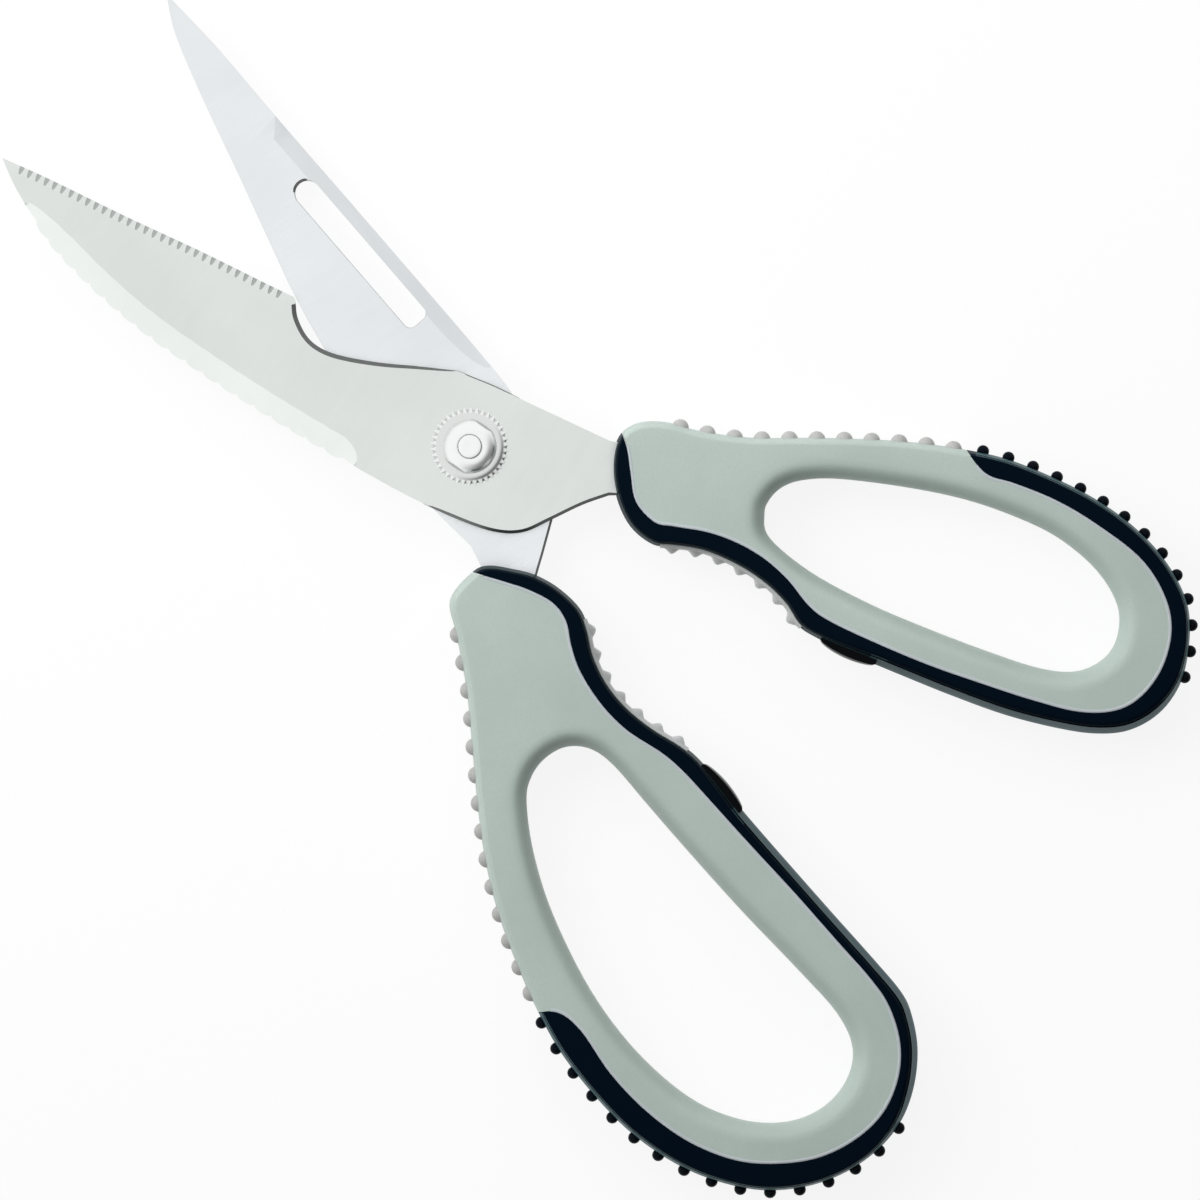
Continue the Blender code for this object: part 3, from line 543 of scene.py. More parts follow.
def carved(shape, tools, operation="DIFFERENCE", row=None):
    """The shape after a Boolean step with each tool. A row of separate cutters has its own solver."""
    blank = mesh_object("blank", shape)
    used = [blank]
    for tool in tools:
        step = blank.modifiers.new("step", "BOOLEAN")
        step.operation = operation
        step.solver = "MANIFOLD" if tool is row else "EXACT"
        step.object = mesh_object("tool", tool)
        used.append(step.object)
    drawn = bpy.data.meshes.new_from_object(blank.evaluated_get(bpy.context.evaluated_depsgraph_get()))
    found = bmesh.new()
    found.from_mesh(drawn)
    bpy.data.meshes.remove(drawn)
    for gone in used:
        bpy.data.meshes.remove(gone.data)
    bmesh.ops.remove_doubles(found, verts=found.verts, dist=SAME_PLACE * MM)
    return found


def piece(node, shape, finishes, body, turn=0.0):
    """A shown piece that rides on a body and stands for a CAD node."""
    bmesh.ops.rotate(shape, verts=shape.verts, matrix=Matrix.Rotation(radians(turn), 3, "Z"))
    found = mesh_object("shown_" + node, shape)
    found.data.shade_smooth()
    found.data.set_sharp_from_angle(angle=radians(SHARP_TURN))
    for finish in finishes:
        found.data.materials.append(bpy.data.materials[finish])
    flat = found.modifiers.new("flat_faces_stay_flat", "WEIGHTED_NORMAL")
    flat.keep_sharp = True
    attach(found, body)
    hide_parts(node)


def handle_piece(handle, part, shape, slot, *finishes):
    piece(handle["side"] + part, shape, finishes, handle["body"], handle["turn"])


# Finishes. Each effect shared by several materials is one node group


def new_group(name, inputs, outputs):
    """An empty node group with float inputs, given with their defaults, and float outputs."""
    tree = bpy.data.node_groups.new(name, "ShaderNodeTree")
    for label, value in inputs.items():
        made = tree.interface.new_socket(name=label, in_out="INPUT", socket_type="NodeSocketFloat")
        made.default_value = value
    for label in outputs:
        tree.interface.new_socket(name=label, in_out="OUTPUT", socket_type="NodeSocketFloat")
    return tree, tree.nodes.new("NodeGroupInput").outputs, tree.nodes.new("NodeGroupOutput").inputs


def add(tree, kind, links=(), **settings):
    """A shader node with its settings, and its inputs set to values or linked to outputs."""
    made = tree.nodes.new("ShaderNode" + kind)
    for label, value in settings.items():
        setattr(made, label, value)
    for socket, source in dict(links).items():
        if isinstance(source, bpy.types.NodeSocket):
            tree.links.new(source, made.inputs[socket])
        else:
            made.inputs[socket].default_value = source
    return made


def link(tree, sockets, **sources):
    """Links each source to the socket of its name, where _ stands for a space."""
    for label, source in sources.items():
        tree.links.new(source, sockets[label.replace("_", " ")])


def maths(tree, operation, first, second=0.0, clamp=False):
    settings = {"operation": operation, "use_clamp": clamp}
    return add(tree, "Math", {0: first, 1: second}, **settings).outputs[0]


def times(tree, first, second, clamp=False):
    return maths(tree, "MULTIPLY", first, second, clamp)


def vector_maths(tree, operation, first, second=(0.0, 0.0, 0.0)):
    return add(tree, "VectorMath", {0: first, 1: second}, operation=operation).outputs


def object_place(tree):
    return add(tree, "TexCoord").outputs["Object"]


def upward(tree, vector):
    return add(tree, "SeparateXYZ", {0: vector}).outputs["Z"]


def ranged(tree, value, low, high, to_low=0.0, to_high=1.0):
    links = {"Value": value, "From Min": low, "From Max": high, "To Min": to_low, "To Max": to_high}
    return add(tree, "MapRange", links).outputs["Result"]


def noise(tree, vector, scale, detail=2.0, rough=0.5):
    links = {"Vector": vector, "Scale": scale, "Detail": detail, "Roughness": rough}
    return add(tree, "TexNoise", links).outputs["Fac"]


def grain_group():
    """Fine spark-eroded grain of a moulding, and slow changes of its tint."""
    tree, given, result = new_group("Moulded grain", {"Scale": 2500.0}, ("Height", "Tint", "Patches"))
    place = object_place(tree)
    fine = noise(tree, place, given["Scale"], 3.0, 0.6)
    pits = add(tree, "TexVoronoi", {"Vector": place, "Scale": given["Scale"]}).outputs["Distance"]
    height = maths(tree, "ADD", times(tree, fine, 0.65), times(tree, pits, 0.5))
    patches = ranged(tree, noise(tree, place, 38.0, 4.0, 0.6), 0.35, 0.65)
    link(tree, result, Height=height, Tint=ranged(tree, fine, 0.3, 0.7), Patches=patches)


def brushed_group():
    """Fine straight lines that a belt leaves on steel, along a direction in the blade's plane."""
    inputs = {"Direction": 0.0, "Fineness": 5000.0}
    tree, given, result = new_group("Brushed lines", inputs, ("Height", "Lines", "Clouds"))
    place = object_place(tree)
    links = {"Vector": place, "Angle": given["Direction"]}
    along = add(tree, "VectorRotate", links, rotation_type="Z_AXIS").outputs["Vector"]
    drawn = vector_maths(tree, "MULTIPLY", along, (1.0, 0.02, 0.6))[0]
    fine = noise(tree, drawn, given["Fineness"], 3.0, 0.7)
    broad = noise(tree, drawn, times(tree, given["Fineness"], 0.12), 3.0, 0.6)
    lines = ranged(tree, maths(tree, "ADD", times(tree, fine, 0.6), times(tree, broad, 0.4)), 0.35, 0.65)
    clouds = ranged(tree, noise(tree, place, 45.0, 3.0, 0.55), 0.35, 0.65)
    link(tree, result, Height=fine, Lines=lines, Clouds=clouds)


def wear_and_sheen_group():
    """Patchy lightening of rounded and upright parts: partly wear from hands and tools, partly painted
    sheen.
    """
    tree, given, result = new_group("Rim wear and painted sheen", {"Amount": 1.0}, ("Mask",))
    normal = add(tree, "NewGeometry").outputs["Normal"]
    side = ranged(tree, maths(tree, "ABSOLUTE", upward(tree, normal)), 0.85, 0.4)
    patches = ranged(tree, noise(tree, object_place(tree), 260.0, 4.0, 0.6), 0.35, 0.7)
    link(tree, result, Mask=times(tree, times(tree, side, patches), given["Amount"], clamp=True))


def seam_group():
    """The thin raised line where the two mould halves met, round the middle of the thickness."""
    inputs = {"Level": HANDLE_MIDDLE * MM, "Width": 0.12 * MM}
    tree, given, result = new_group("Mould seam", inputs, ("Height",))
    level = upward(tree, object_place(tree))
    away = maths(tree, "ABSOLUTE", maths(tree, "SUBTRACT", level, given["Level"]))
    link(tree, result, Height=ranged(tree, away, given["Width"], 0.0))


def effect(tree, name, **values):
    """A shared effect placed in a material with its own values."""
    made = tree.nodes.new("ShaderNodeGroup")
    made.node_tree = bpy.data.node_groups[name]
    for label, value in values.items():
        made.inputs[label].default_value = value
    return made.outputs


def mixed(tree, share, first, second):
    """One colour turning into another by a share."""
    first, second = (c if isinstance(c, bpy.types.NodeSocket) else (*c, 1.0) for c in (first, second))
    links = {"Factor": share, 6: first, 7: second}
    return add(tree, "Mix", links, data_type="RGBA").outputs[2]


def shade(colour, factor):
    return tuple(min(1.0, part * factor) for part in colour)


def new_finish(name, **values):
    """A material's node tree, and its shader with its own sockets set."""
    made = bpy.data.materials.new(name)
    made.use_nodes = True
    shader = made.node_tree.nodes["Principled BSDF"]
    for label, value in values.items():
        shader.inputs[label.replace("_", " ")].default_value = value
    return made.node_tree, shader


def bumped(tree, height, depth):
    """The normal of a surface that rises and falls by a depth in millimetres."""
    return add(tree, "Bump", {"Height": height, "Distance": depth * MM}).outputs["Normal"]


def moulded_finish(name, colour, roughness, grain, depth, wear_and_sheen, gloss=0.5, **values):
    """Moulded plastic or rubber: grain, slow tint, a mould seam, and lighter edges from wear and painted
    sheen.
    """
    tree, shader = new_finish(name, Specular_IOR_Level=gloss, **values)
    skin = effect(tree, "Moulded grain", Scale=grain)
    wear_and_sheen_mask = effect(tree, "Rim wear and painted sheen", Amount=wear_and_sheen)["Mask"]
    seam = effect(tree, "Mould seam")["Height"]
    tinted = mixed(tree, skin["Patches"], shade(colour, 0.94), shade(colour, 1.05))
    grained = mixed(tree, times(tree, skin["Tint"], 0.35), tinted, shade(colour, 0.86))
    worn_and_sheened = mixed(tree, wear_and_sheen_mask, grained, shade([part + 0.01 for part in colour], 1.2))
    matt = ranged(tree, skin["Patches"], 0.0, 1.0, roughness - 0.05, roughness + 0.05)
    matt = maths(tree, "SUBTRACT", matt, times(tree, wear_and_sheen_mask, 0.12))
    normal = bumped(tree, maths(tree, "ADD", skin["Height"], times(tree, seam, 2.0)), depth)
    link(tree, shader.inputs, Base_Color=worn_and_sheened, Roughness=matt, Normal=normal)


def steel_finish(name, colour, roughness, direction, fineness, depth, lines):
    """Ground steel: fine lines one way and soft clouds of handling."""
    tree, shader = new_finish(name, Metallic=1.0)
    belt = effect(tree, "Brushed lines", Direction=radians(direction), Fineness=fineness)
    lined = mixed(tree, belt["Lines"], shade(colour, 1.0 - lines), shade(colour, 1.0 + lines))
    clouded = mixed(tree, times(tree, belt["Clouds"], 0.5), lined, shade(colour, 0.95))
    satin = ranged(tree, belt["Lines"], 0.0, 1.0, roughness - 0.06, roughness + 0.06)
    satin = maths(tree, "ADD", satin, ranged(tree, belt["Clouds"], 0.0, 1.0, -0.03, 0.04))
    normal = bumped(tree, belt["Height"], depth)
    link(tree, shader.inputs, Base_Color=clouded, Roughness=satin, Normal=normal)


def turned_finish(name, colour, roughness):
    """Polished steel with the faint rings that turning leaves round the pivot's axis."""
    tree, shader = new_finish(name, Metallic=1.0)
    flat = vector_maths(tree, "MULTIPLY", object_place(tree), (1.0, 1.0, 0.0))[0]
    across = vector_maths(tree, "LENGTH", flat)["Value"]
    cut = noise(tree, add(tree, "CombineXYZ", {"X": across}).outputs[0], 9000.0, 2.0, 0.6)
    skin = effect(tree, "Moulded grain", Scale=900.0)
    # Steep faces are lighter in patches: partly wear, partly painted sheen
    wear_and_sheen_mask = effect(tree, "Rim wear and painted sheen", Amount=0.6)["Mask"]
    ringed = mixed(tree, cut, shade(colour, 0.93), shade(colour, 1.03))
    worn_and_sheened = mixed(tree, wear_and_sheen_mask, ringed, shade(colour, 1.08))
    polish = ranged(tree, skin["Patches"], 0.0, 1.0, roughness - 0.04, roughness + 0.06)
    link(tree, shader.inputs, Base_Color=worn_and_sheened, Roughness=polish, Normal=bumped(tree, cut, 0.004))


class SHEARS_OT_finishes(bpy.types.Operator):
    """Makes the shared effects and the materials of every piece"""

    bl_idname = "shears.finishes"
    bl_label = "Finishes"

    def execute(self, context):
        colours = context.scene.shears_colours
        grain_group()
        brushed_group()
        wear_and_sheen_group()
        seam_group()
        self.mouldings(colours)
        self.blade_steels(colours.front_steel, colours.rear_steel)
        # Two darker steels in this list are painted shade, between the washer's teeth and on the nut's flats
        for name, factor, roughness in (
            ("pivot", 1.0, 0.3), ("washer", 0.8, 0.25), ("painted_shade_flat", 0.55, 0.3), ("painted_shade_tooth_gap", 0.66, 0.25),
            ("tooth", 0.93, 0.25),
        ):
            turned_finish(name + "_steel", shade(colours.hardware, factor), roughness)
        return {"FINISHED"}

    def mouldings(self, colours):
        """Each has its colour, roughness, grain's scale and depth, wear with painted sheen and, if not
        usual, gloss.
        """
        moulded_finish("core_plastic", colours.core, 0.55, 2200.0, 0.02, 0.08)
        # A paler plastic for the bead along the join: painted highlight
        moulded_finish("painted_highlight_bead_plastic", colours.painted_highlight_bead, 0.45, 1500.0, 0.005, 0.35)
        moulded_finish("nub_plastic", colours.nubs, 0.5, 2200.0, 0.01, 0.3)
        moulded_finish("rib_plastic", colours.ribs, 0.45, 1500.0, 0.01, 0.4)
        # A paler copy of the rib plastic for the ribs' level tops: painted highlight
        moulded_finish("painted_highlight_rib_plastic", shade(colours.ribs, 1.25), 0.4, 1500.0, 0.01, 0.4)
        sheen = {"Sheen_Weight": 0.08, "Sheen_Roughness": 0.3, "Sheen_Tint": (0.35, 0.72, 0.78, 1.0)}
        moulded_finish("band_rubber", colours.band, 0.4, 1800.0, 0.012, 0.2, 0.01, **sheen)
        # A lighter teal copy of the band for its steep sides: painted sheen
        moulded_finish("painted_sheen_rubber", colours.rim, 0.45, 1800.0, 0.012, 0.2, 0.03, **sheen)
        moulded_finish("nub_rubber", shade(colours.band, 0.6), 0.35, 1800.0, 0.01, 0.2, 0.06)
        moulded_finish("pad_rubber", colours.pads, 0.25, 1200.0, 0.005, 0.2, 0.05)

    def blade_steels(self, front, rear):
        """Each has a shade, a roughness, and its lines' direction, fineness, depth and contrast."""
        for name, colour, factor, *values in (
            ("front_face", front, 1.0, 0.34, -FRONT_TURN - 90.0, 4200.0, 0.0006, 0.009),
            ("front_ground", front, 1.17, 0.32, -FRONT_TURN + 8.0, 6500.0, 0.002, 0.02),
            # The groove steel is a darker copy for the walls of the serration's grooves: painted shade
            ("groove", front, 0.6, 0.38, -FRONT_TURN, 6500.0, 0.004, 0.06),
            ("edge", front, 0.8, 0.38, 0.0, 3000.0, 0.004, 0.04),
            # Very dark steel for narrow chamfers along the blades' edges: painted shade
            ("sheared", front, 0.27, 0.5, 0.0, 3000.0, 0.006, 0.1),
            ("rear_face", rear, 1.0, 0.32, -REAR_TURN - 90.0, 4200.0, 0.0003, 0.004),
            ("rear_ground", rear, 0.90, 0.34, -REAR_TURN + 5.0, 6500.0, 0.0015, 0.015),
        ):
            steel_finish(name + "_steel", shade(colour, factor), *values)


# Blades


def mark_faces(shape, limits):
    """Sets each face's finish by how level it lies: the first whose limit it reaches."""
    shape.normal_update()
    for face in shape.faces:
        level = abs(face.normal.z)
        face.material_index = next(i for i, limit in enumerate(limits) if level >= limit)


def blade_blank(outline, low, top, inset, drop):
    """A blade before it is ground, with its bore and with finely broken edges."""
    side = [(0.06 * MM, low), (0.0, low + 0.1 * MM), (0.0, top - drop * MM), (inset * MM, top)]
    bore = circle(BORE * MM)
    return from_loops([side_rings(outline, -1, side), [(bore, low), (bore, top)]])


def bevel(edge, width, face, slope):
    """The even bevel of a cutting edge, which runs on past both its ends."""
    line = shortened(edge, -RUN_OUT * MM, -RUN_OUT * MM)
    return wedge(line, faded(line, width * MM), face, slope)


def sheared(line, face, start, end, width=0.55, slope=1.15):
    """A narrow chamfer along a line, fading out at its start and end; its very dark steel is painted shade.
    """
    return wedge(line, faded(line, width * MM, start * MM, end * MM), face, slope)


class SHEARS_OT_front_blade(bpy.types.Operator):
    """Builds the front blade: serrated cutting edge, bone notch and scaler teeth on its back"""

    bl_idname = "shears.front_blade"
    bl_label = "Front Blade"

    bevel_width = 1.4
    bevel_slope = 0.72
    scaler_width = 4.0
    scaler_slope = 1.5 / 4.0
    scaler_fades = (5.0, 14.0)
    teeth = 19
    tooth_steps = 12
    tooth_depth = 0.6
    tooth_ripple = 0.03
    grooves = 32
    groove_width = 0.96
    groove_length = 1.6
    cutter_length = 6.0
    # Lengths of the cutting edge that have no groove, at the tip and at the notch
    tip_plain = 4.0
    notch_plain = 2.7
    # First and last place of the edges that carry painted shade, and how far in it reaches
    belly_run = ((8.6, -30.2), (-12.9, 1.2))
    shoulder_run = ((10.5, 8.3), (12.0, -2.0))
    rolled_reach = 0.8
    # How nearly a face lies as the bevel does where it is part of the bevel
    bevel_match = 0.996
    # The finishes in their order, how level a face of each one lies at least, and numbers of the first
    finishes = ("front_face_steel", "front_ground_steel", "groove_steel", "sheared_steel", "edge_steel")
    level_limits = (0.995, 0.88, 0.7, 0.64, 0.0)
    plain, ground, groove, rolled = range(4)

    def execute(self, context):
        edge = smooth_line(FRONT_EDGE)
        notch = smooth_line(FRONT_NOTCH)
        scaler = smooth_line(FRONT_SCALER)
        outline = smooth_lines(FRONT_EDGE, FRONT_NOTCH, FRONT_SHOULDER, FRONT_TANG, FRONT_BELLY)
        outline += waves(scaler, self.teeth, self.tooth_steps, -self.tooth_depth * MM, 0.0, hump)
        outline += smooth_line(FRONT_BACK_TIP)[:-1]
        top = FRONT_TOP * MM
        belly = stretch(outline, *self.belly_run)
        shoulder = stretch(outline, *self.shoulder_run)
        row = self.groove_row(edge, context.scene.shears_sizes.groove_depth)
        tools = (
            self.scaler_strip(top),
            bevel(edge, self.bevel_width, top, self.bevel_slope),
            row,
            # Narrow chamfers along the notch, belly and shoulder take very dark steel: painted shade
            sheared(notch, top, 0.6, 26.0, 0.78),
            sheared(belly, top, 4.0, 6.0),
            sheared(shoulder, top, 0.3, 3.0, 0.2),
        )
        blade = carved(blade_blank(outline, FRONT_BOTTOM * MM, top, 0.07, 0.08), tools, row=row)
        mark_faces(blade, self.level_limits)
        self.mark_edges(blade, edge, (notch, belly, shoulder))
        piece("front_blade", blade, self.finishes, "front_half", FRONT_TURN)
        return {"FINISHED"}

    def scaler_strip(self, top):
        """What is ground off behind the scaler teeth, with a slight ripple for each tooth."""
        back = shortened(smooth_line(FRONT_SCALER + FRONT_BACK_TIP[:1]), -3.0 * MM, 0.0)
        back = [place for place, _ in spaced(back, self.tooth_steps * self.teeth)]
        start, end = self.scaler_fades
        widths = faded(back, self.scaler_width * MM, start * MM, end * MM)
        for i in range(len(back)):
            widths[i] += self.tooth_ripple * MM * sin(2 * pi * i / self.tooth_steps)
        return wedge(back, widths, top, self.scaler_slope)

    def groove_row(self, edge, depth):
        """Short round cutters square to the cutting edge, which dip towards it more than the bevel."""
        made = bmesh.new()
        radius = self.groove_width / 2 * MM
        slope = atan(self.bevel_slope + depth / (self.groove_length * MM))
        level = (FRONT_TOP - self.bevel_width * self.bevel_slope) * MM - depth
        height = level + radius / cos(slope)
        lie = Matrix.Rotation(pi / 2 + slope, 4, "Y")
        line = shortened(edge, self.tip_plain * MM, self.notch_plain * MM)
        for place, outward in spaced(line, self.grooves):
            bmesh.ops.create_cone(
                made, cap_ends=True, segments=16, radius1=radius, radius2=radius,
                depth=self.cutter_length * MM, matrix=seat_at(place, outward, height) @ lie,
            )
        return made

    def mark_edges(self, blade, edge, rolled_lines):
        """Tells the ground bevel from its grooves, and edges with painted shade from other steep faces."""
        slope = atan(self.bevel_slope)
        for face in blade.faces:
            middle = face.calc_center_median_weighted()
            out = nearest_on(edge, middle.xy)[1] - middle.xy
            if 0.01 * MM < out.length < self.bevel_width * MM and face.normal.z > 0.1:
                bevel_normal = Vector((*(out.normalized() * sin(slope)), cos(slope)))
                match = face.normal.dot(bevel_normal)
                # Faces off the bevel's slope are groove walls, which take the darker steel: painted shade
                face.material_index = self.plain if match > self.bevel_match else self.groove
            elif face.material_index in (self.groove, self.rolled):
                gap = min(gap_to(line, middle.xy) for line in rolled_lines)
                face.material_index = self.rolled if gap < self.rolled_reach * MM else self.ground


class SHEARS_OT_rear_blade(bpy.types.Operator):
    """Builds the rear blade: plain cutting edge, long slot and ground spine"""

    bl_idname = "shears.rear_blade"
    bl_label = "Rear Blade"

    bevel_width = 4.0
    bevel_slope = 1.3 / 4.0
    # How many points of the edge's list lie before its bevel
    unground = 2
    spine_width = 2.9
    spine_slope = 1.1 / 2.9
    spine_run = ((4.1, 68.3), (11.1, 9.5))
    # The edges that carry painted shade: on the neck from place to place, and at points of the slot's line
    neck_run = ((10.5, -3.5), (-4.6, -27.4))
    slot_run = slice(5, 17)
    # The finishes in their order, and how level a face of each one lies at least
    finishes = ("rear_face_steel", "rear_ground_steel", "sheared_steel", "edge_steel")
    level_limits = (0.995, 0.69, 0.64, 0.0)

    def execute(self, context):
        outline = smooth_lines(REAR_SPINE, REAR_TANG, REAR_NECK, REAR_EDGE)[:-1]
        low = REAR_BOTTOM * MM
        top = REAR_TOP * MM
        slot = self.slot_line()
        spine = stretch(outline, *self.spine_run)
        tools = (
            bevel(smooth_line(REAR_EDGE[self.unground :]), self.bevel_width, low, -self.bevel_slope),
            wedge(spine, faded(spine, self.spine_width * MM, 3.0 * MM, 13.0 * MM), top, self.spine_slope),
            self.slot_cutter(slot, context.scene.shears_sizes.slot_chamfer),
            # Narrow chamfers round the slot's tip end and along the neck take very dark steel: painted shade
            sheared(slot[self.slot_run], top, 1.2, 1.2, 0.5),
            sheared(stretch(outline, *self.neck_run), top, 4.0, 3.0, 0.42),
        )
        blade = carved(blade_blank(outline, low, top, 0.06, 0.06), tools)
        mark_faces(blade, self.level_limits)
        piece("rear_blade", blade, self.finishes, "rear_half", REAR_TURN)
        return {"FINISHED"}

    def slot_line(self):
        """The slot's outline from the right of its tip end: round there, squarer below."""
        half = SLOT_WIDTH / 2
        low = SLOT_CORNER - SLOT_LENGTH / 2
        ends = (
            ((0.0, SLOT_LENGTH / 2 - half), half, 0.0, 180.0, 20),
            ((SLOT_CORNER - half, low), SLOT_CORNER, 180.0, 270.0, 8),
            ((half - SLOT_CORNER, low), SLOT_CORNER, 270.0, 360.0, 8),
        )
        lean = Matrix.Rotation(radians(SLOT_LEAN), 2)
        line = []
        for centre, radius, start, end, steps in ends:
            for i in range(steps + 1):
                angle = radians(start + (end - start) * i / steps)
                place = Vector(centre) + radius * Vector((cos(angle), sin(angle)))
                line.append((lean @ place + Vector(SLOT_CENTRE)) * MM)
        return line

    def slot_cutter(self, line, chamfer):
        """The slot's cutter, flared where it breaks both faces."""
        over = 1.0 * MM
        bottom = REAR_BOTTOM * MM
        top = REAR_TOP * MM
        side = [
            (-chamfer - over, bottom - over), (0.0, bottom + chamfer), (0.0, top - chamfer),
            (-chamfer - over, top + over),
        ]
        return from_loops([side_rings(line, 1, side)])


# Pivot


class SHEARS_OT_pivot(bpy.types.Operator):
    """Builds the pivot: bolt, spring washer, toothed washer and domed nut with two flats"""

    bl_idname = "shears.pivot"
    bl_label = "Pivot"

    shank = 2.05
    head = 5.5
    threads = 4
    thread_pitch = 0.5
    thread_depth = 0.22
    nut = 4.8
    nut_bore = 2.1
    dome_bore = 2.35
    dome_drop = 2.1
    dome_steps = 12
    flats = 8.1
    flats_turn = 10.0
    teeth = 38
    tooth_root = 6.05
    tooth_tip = 6.9

    def execute(self, context):
        for name, shape, *finishes in (
            ("pivot_bolt", self.bolt(), "pivot_steel", "washer_steel"),
            ("tension_washer", self.spring_washer(), "washer_steel"),
            ("tooth_lock_washer", self.toothed_washer(), "washer_steel", "painted_shade_tooth_gap_steel", "tooth_steel"),
            ("pivot_nut", self.domed_nut(), "pivot_steel", "painted_shade_flat_steel"),
        ):
            piece(name, shape, finishes, "front_half")
        return {"FINISHED"}

    def bolt(self):
        r = self.shank
        root = r - self.thread_depth
        rim = self.head
        profile = [(0.0, BOLT_END - 0.04), (0.6, BOLT_END - 0.03), (1.0, BOLT_END), (1.4, BOLT_END)]
        profile += [(r - 0.2, BOLT_END - 0.02), (r - 0.06, BOLT_END - 0.06), (r, BOLT_END - 0.16)]
        for ridge in range(self.threads):
            level = BOLT_END - 0.6 - self.thread_pitch * ridge
            profile += [(r, level), (root, level - 0.18), (root, level - 0.26), (r, level - 0.44)]
        profile += [(r, BOLT_HEAD_TOP), (rim - 0.5, BOLT_HEAD_TOP), (rim - 0.12, BOLT_HEAD_TOP - 0.15)]
        profile += [(rim, BOLT_HEAD_TOP - 0.5), (rim, 0.55), (rim - 0.15, 0.2)]
        profile += [(rim - 0.55, 0.0), (0.0, 0.0)]
        bolt = turned(profile)
        mark_faces(bolt, (0.45, 0.0))
        return bolt

    def spring_washer(self):
        """A dished ring, so that its rim and its bore touch at different heights."""
        low = BOLT_HEAD_TOP
        top = TENSION_WASHER_TOP
        profile = [(BORE, top - 0.1), (2.5, top), (3.2, top - 0.02), (4.6, low + 0.6), (4.8, low + 0.45)]
        profile += [(4.7, low + 0.1), (4.4, low + 0.05), (2.5, low + 0.55), (BORE, low + 0.65)]
        return turned(profile + profile[:1])

    def tooth_at(self, angle):
        """1 on a tooth of the washer and 0 between two, with steep flanks."""
        share = (angle * self.teeth / (2 * pi)) % 1.0
        return min(1.0, max(0.0, (0.32 - abs(share - 0.5)) / 0.14))

    def toothed_washer(self):
        """A dished disc with a ring of short teeth bent down to bite the blade."""
        base = FRONT_TOP
        top = LOCK_WASHER_TOP
        profile = [
            (2.2, base), (2.2, top), (4.9, top), (5.45, top - 0.04), (5.75, top - 0.16), (5.95, top - 0.36),
            (6.05, top - 0.4), (6.5, top - 0.46), (7.0, top - 0.56), (7.0, base + 0.02), (6.05, base),
            (2.2, base),
        ]

        def rim(angle, height):
            sunk = (top - height) / (top - base)
            root = self.tooth_root - 0.35 + 0.9 * sunk
            return root + (self.tooth_tip - root) * self.tooth_at(angle)

        washer = turned(profile, sides=self.teeth * 10, reach=rim)
        for face in washer.faces:
            middle = face.calc_center_median()
            if middle.xy.length > (self.tooth_root - 0.02) * MM:
                # Faces between the teeth take darker steel: painted shade in the gaps
                face.material_index = 2 if self.tooth_at(atan2(middle.y, middle.x)) > 0.5 else 1
        return washer

    def domed_nut(self):
        r = self.nut
        base = LOCK_WASHER_TOP
        profile = [(self.nut_bore, NUT_TOP - 0.2), (2.16, NUT_TOP - 0.06), (2.3, NUT_TOP)]
        for i in range(self.dome_steps + 1):
            angle = pi / 2 * (0.22 + 0.78 * i / self.dome_steps)
            across = self.dome_bore + (r - self.dome_bore) * sin(angle)
            profile.append((across, NUT_TOP - self.dome_drop + self.dome_drop * max(0.0, cos(angle))))
        profile += [(r, base + 0.6), (r - 0.12, base + 0.2), (r - 0.45, base), (self.nut_bore, base)]
        half = self.flats / 2
        turn = radians(self.flats_turn)

        def side(angle, height):
            lean = 0.2 * (NUT_TOP - height)
            return (half + lean) / max(0.05, abs(cos(angle - turn)))

        nut = turned(profile + profile[:1], sides=120, reach=side)
        nut.normal_update()
        for face in nut.faces:
            middle = face.calc_center_median()
            across = abs(middle.x * cos(turn) + middle.y * sin(turn))
            # The upright faces of the flats take darker steel: painted shade
            face.material_index = 1 if abs(face.normal.z) < 0.3 and across > (half - 0.05) * MM else 0
        return nut


# Handles


def handle_blank(handle, half, sizes, groove=0.0):
    """The whole handle before it is parted. A grooved grip's sides lean most where they are plain."""
    outline = outline_of(handle)
    hole = smooth_line(handle["hole"], closed=True)
    middle = HANDLE_MIDDLE * MM
    shares = lean_shares(outline, *handle["plain"], PLAIN_LEAN, LEAN_RUN * MM) if groove else None
    draft = sizes.side_draft if groove else PLAIN_LEAN * sizes.side_draft
    return from_loops([
        side_rings(outline, -1, drafted(draft, sizes.side_round, half, groove), middle, shares),
        side_rings(hole, 1, lipped(sizes.hole_lip, half), middle),
    ])


def band_side(handle, shift):
    """All that lies on the dark band's side of its inner line."""
    band_line = smooth_line(handle["band"])
    rim = stretch(outline_of(handle), handle["band"][0], handle["band"][-1])
    region = moved_line(band_line, shift) + moved_line(rim, OVERSHOOT * MM)[::-1]
    heights = (HANDLE_MIDDLE - 2 * HANDLE_HALF, HANDLE_MIDDLE + 2 * HANDLE_HALF)
    return from_loops([[(region, height * MM) for height in heights]])


def add_nubs(shape, handle, kind, radius, rise):
    """Adds round nubs at even steps along the outline, at the middle of the thickness."""
    first, last, count = handle[kind]
    for place, outward in spaced(stretch(outline_of(handle), first, last), count):
        seat = seat_at(place + outward * (rise - radius), outward, HANDLE_MIDDLE * MM)
        made = bmesh.ops.create_uvsphere(shape, u_segments=20, v_segments=14, radius=radius, matrix=seat)
        for corner in made["verts"]:
            for face in corner.link_faces:
                face.material_index = 1


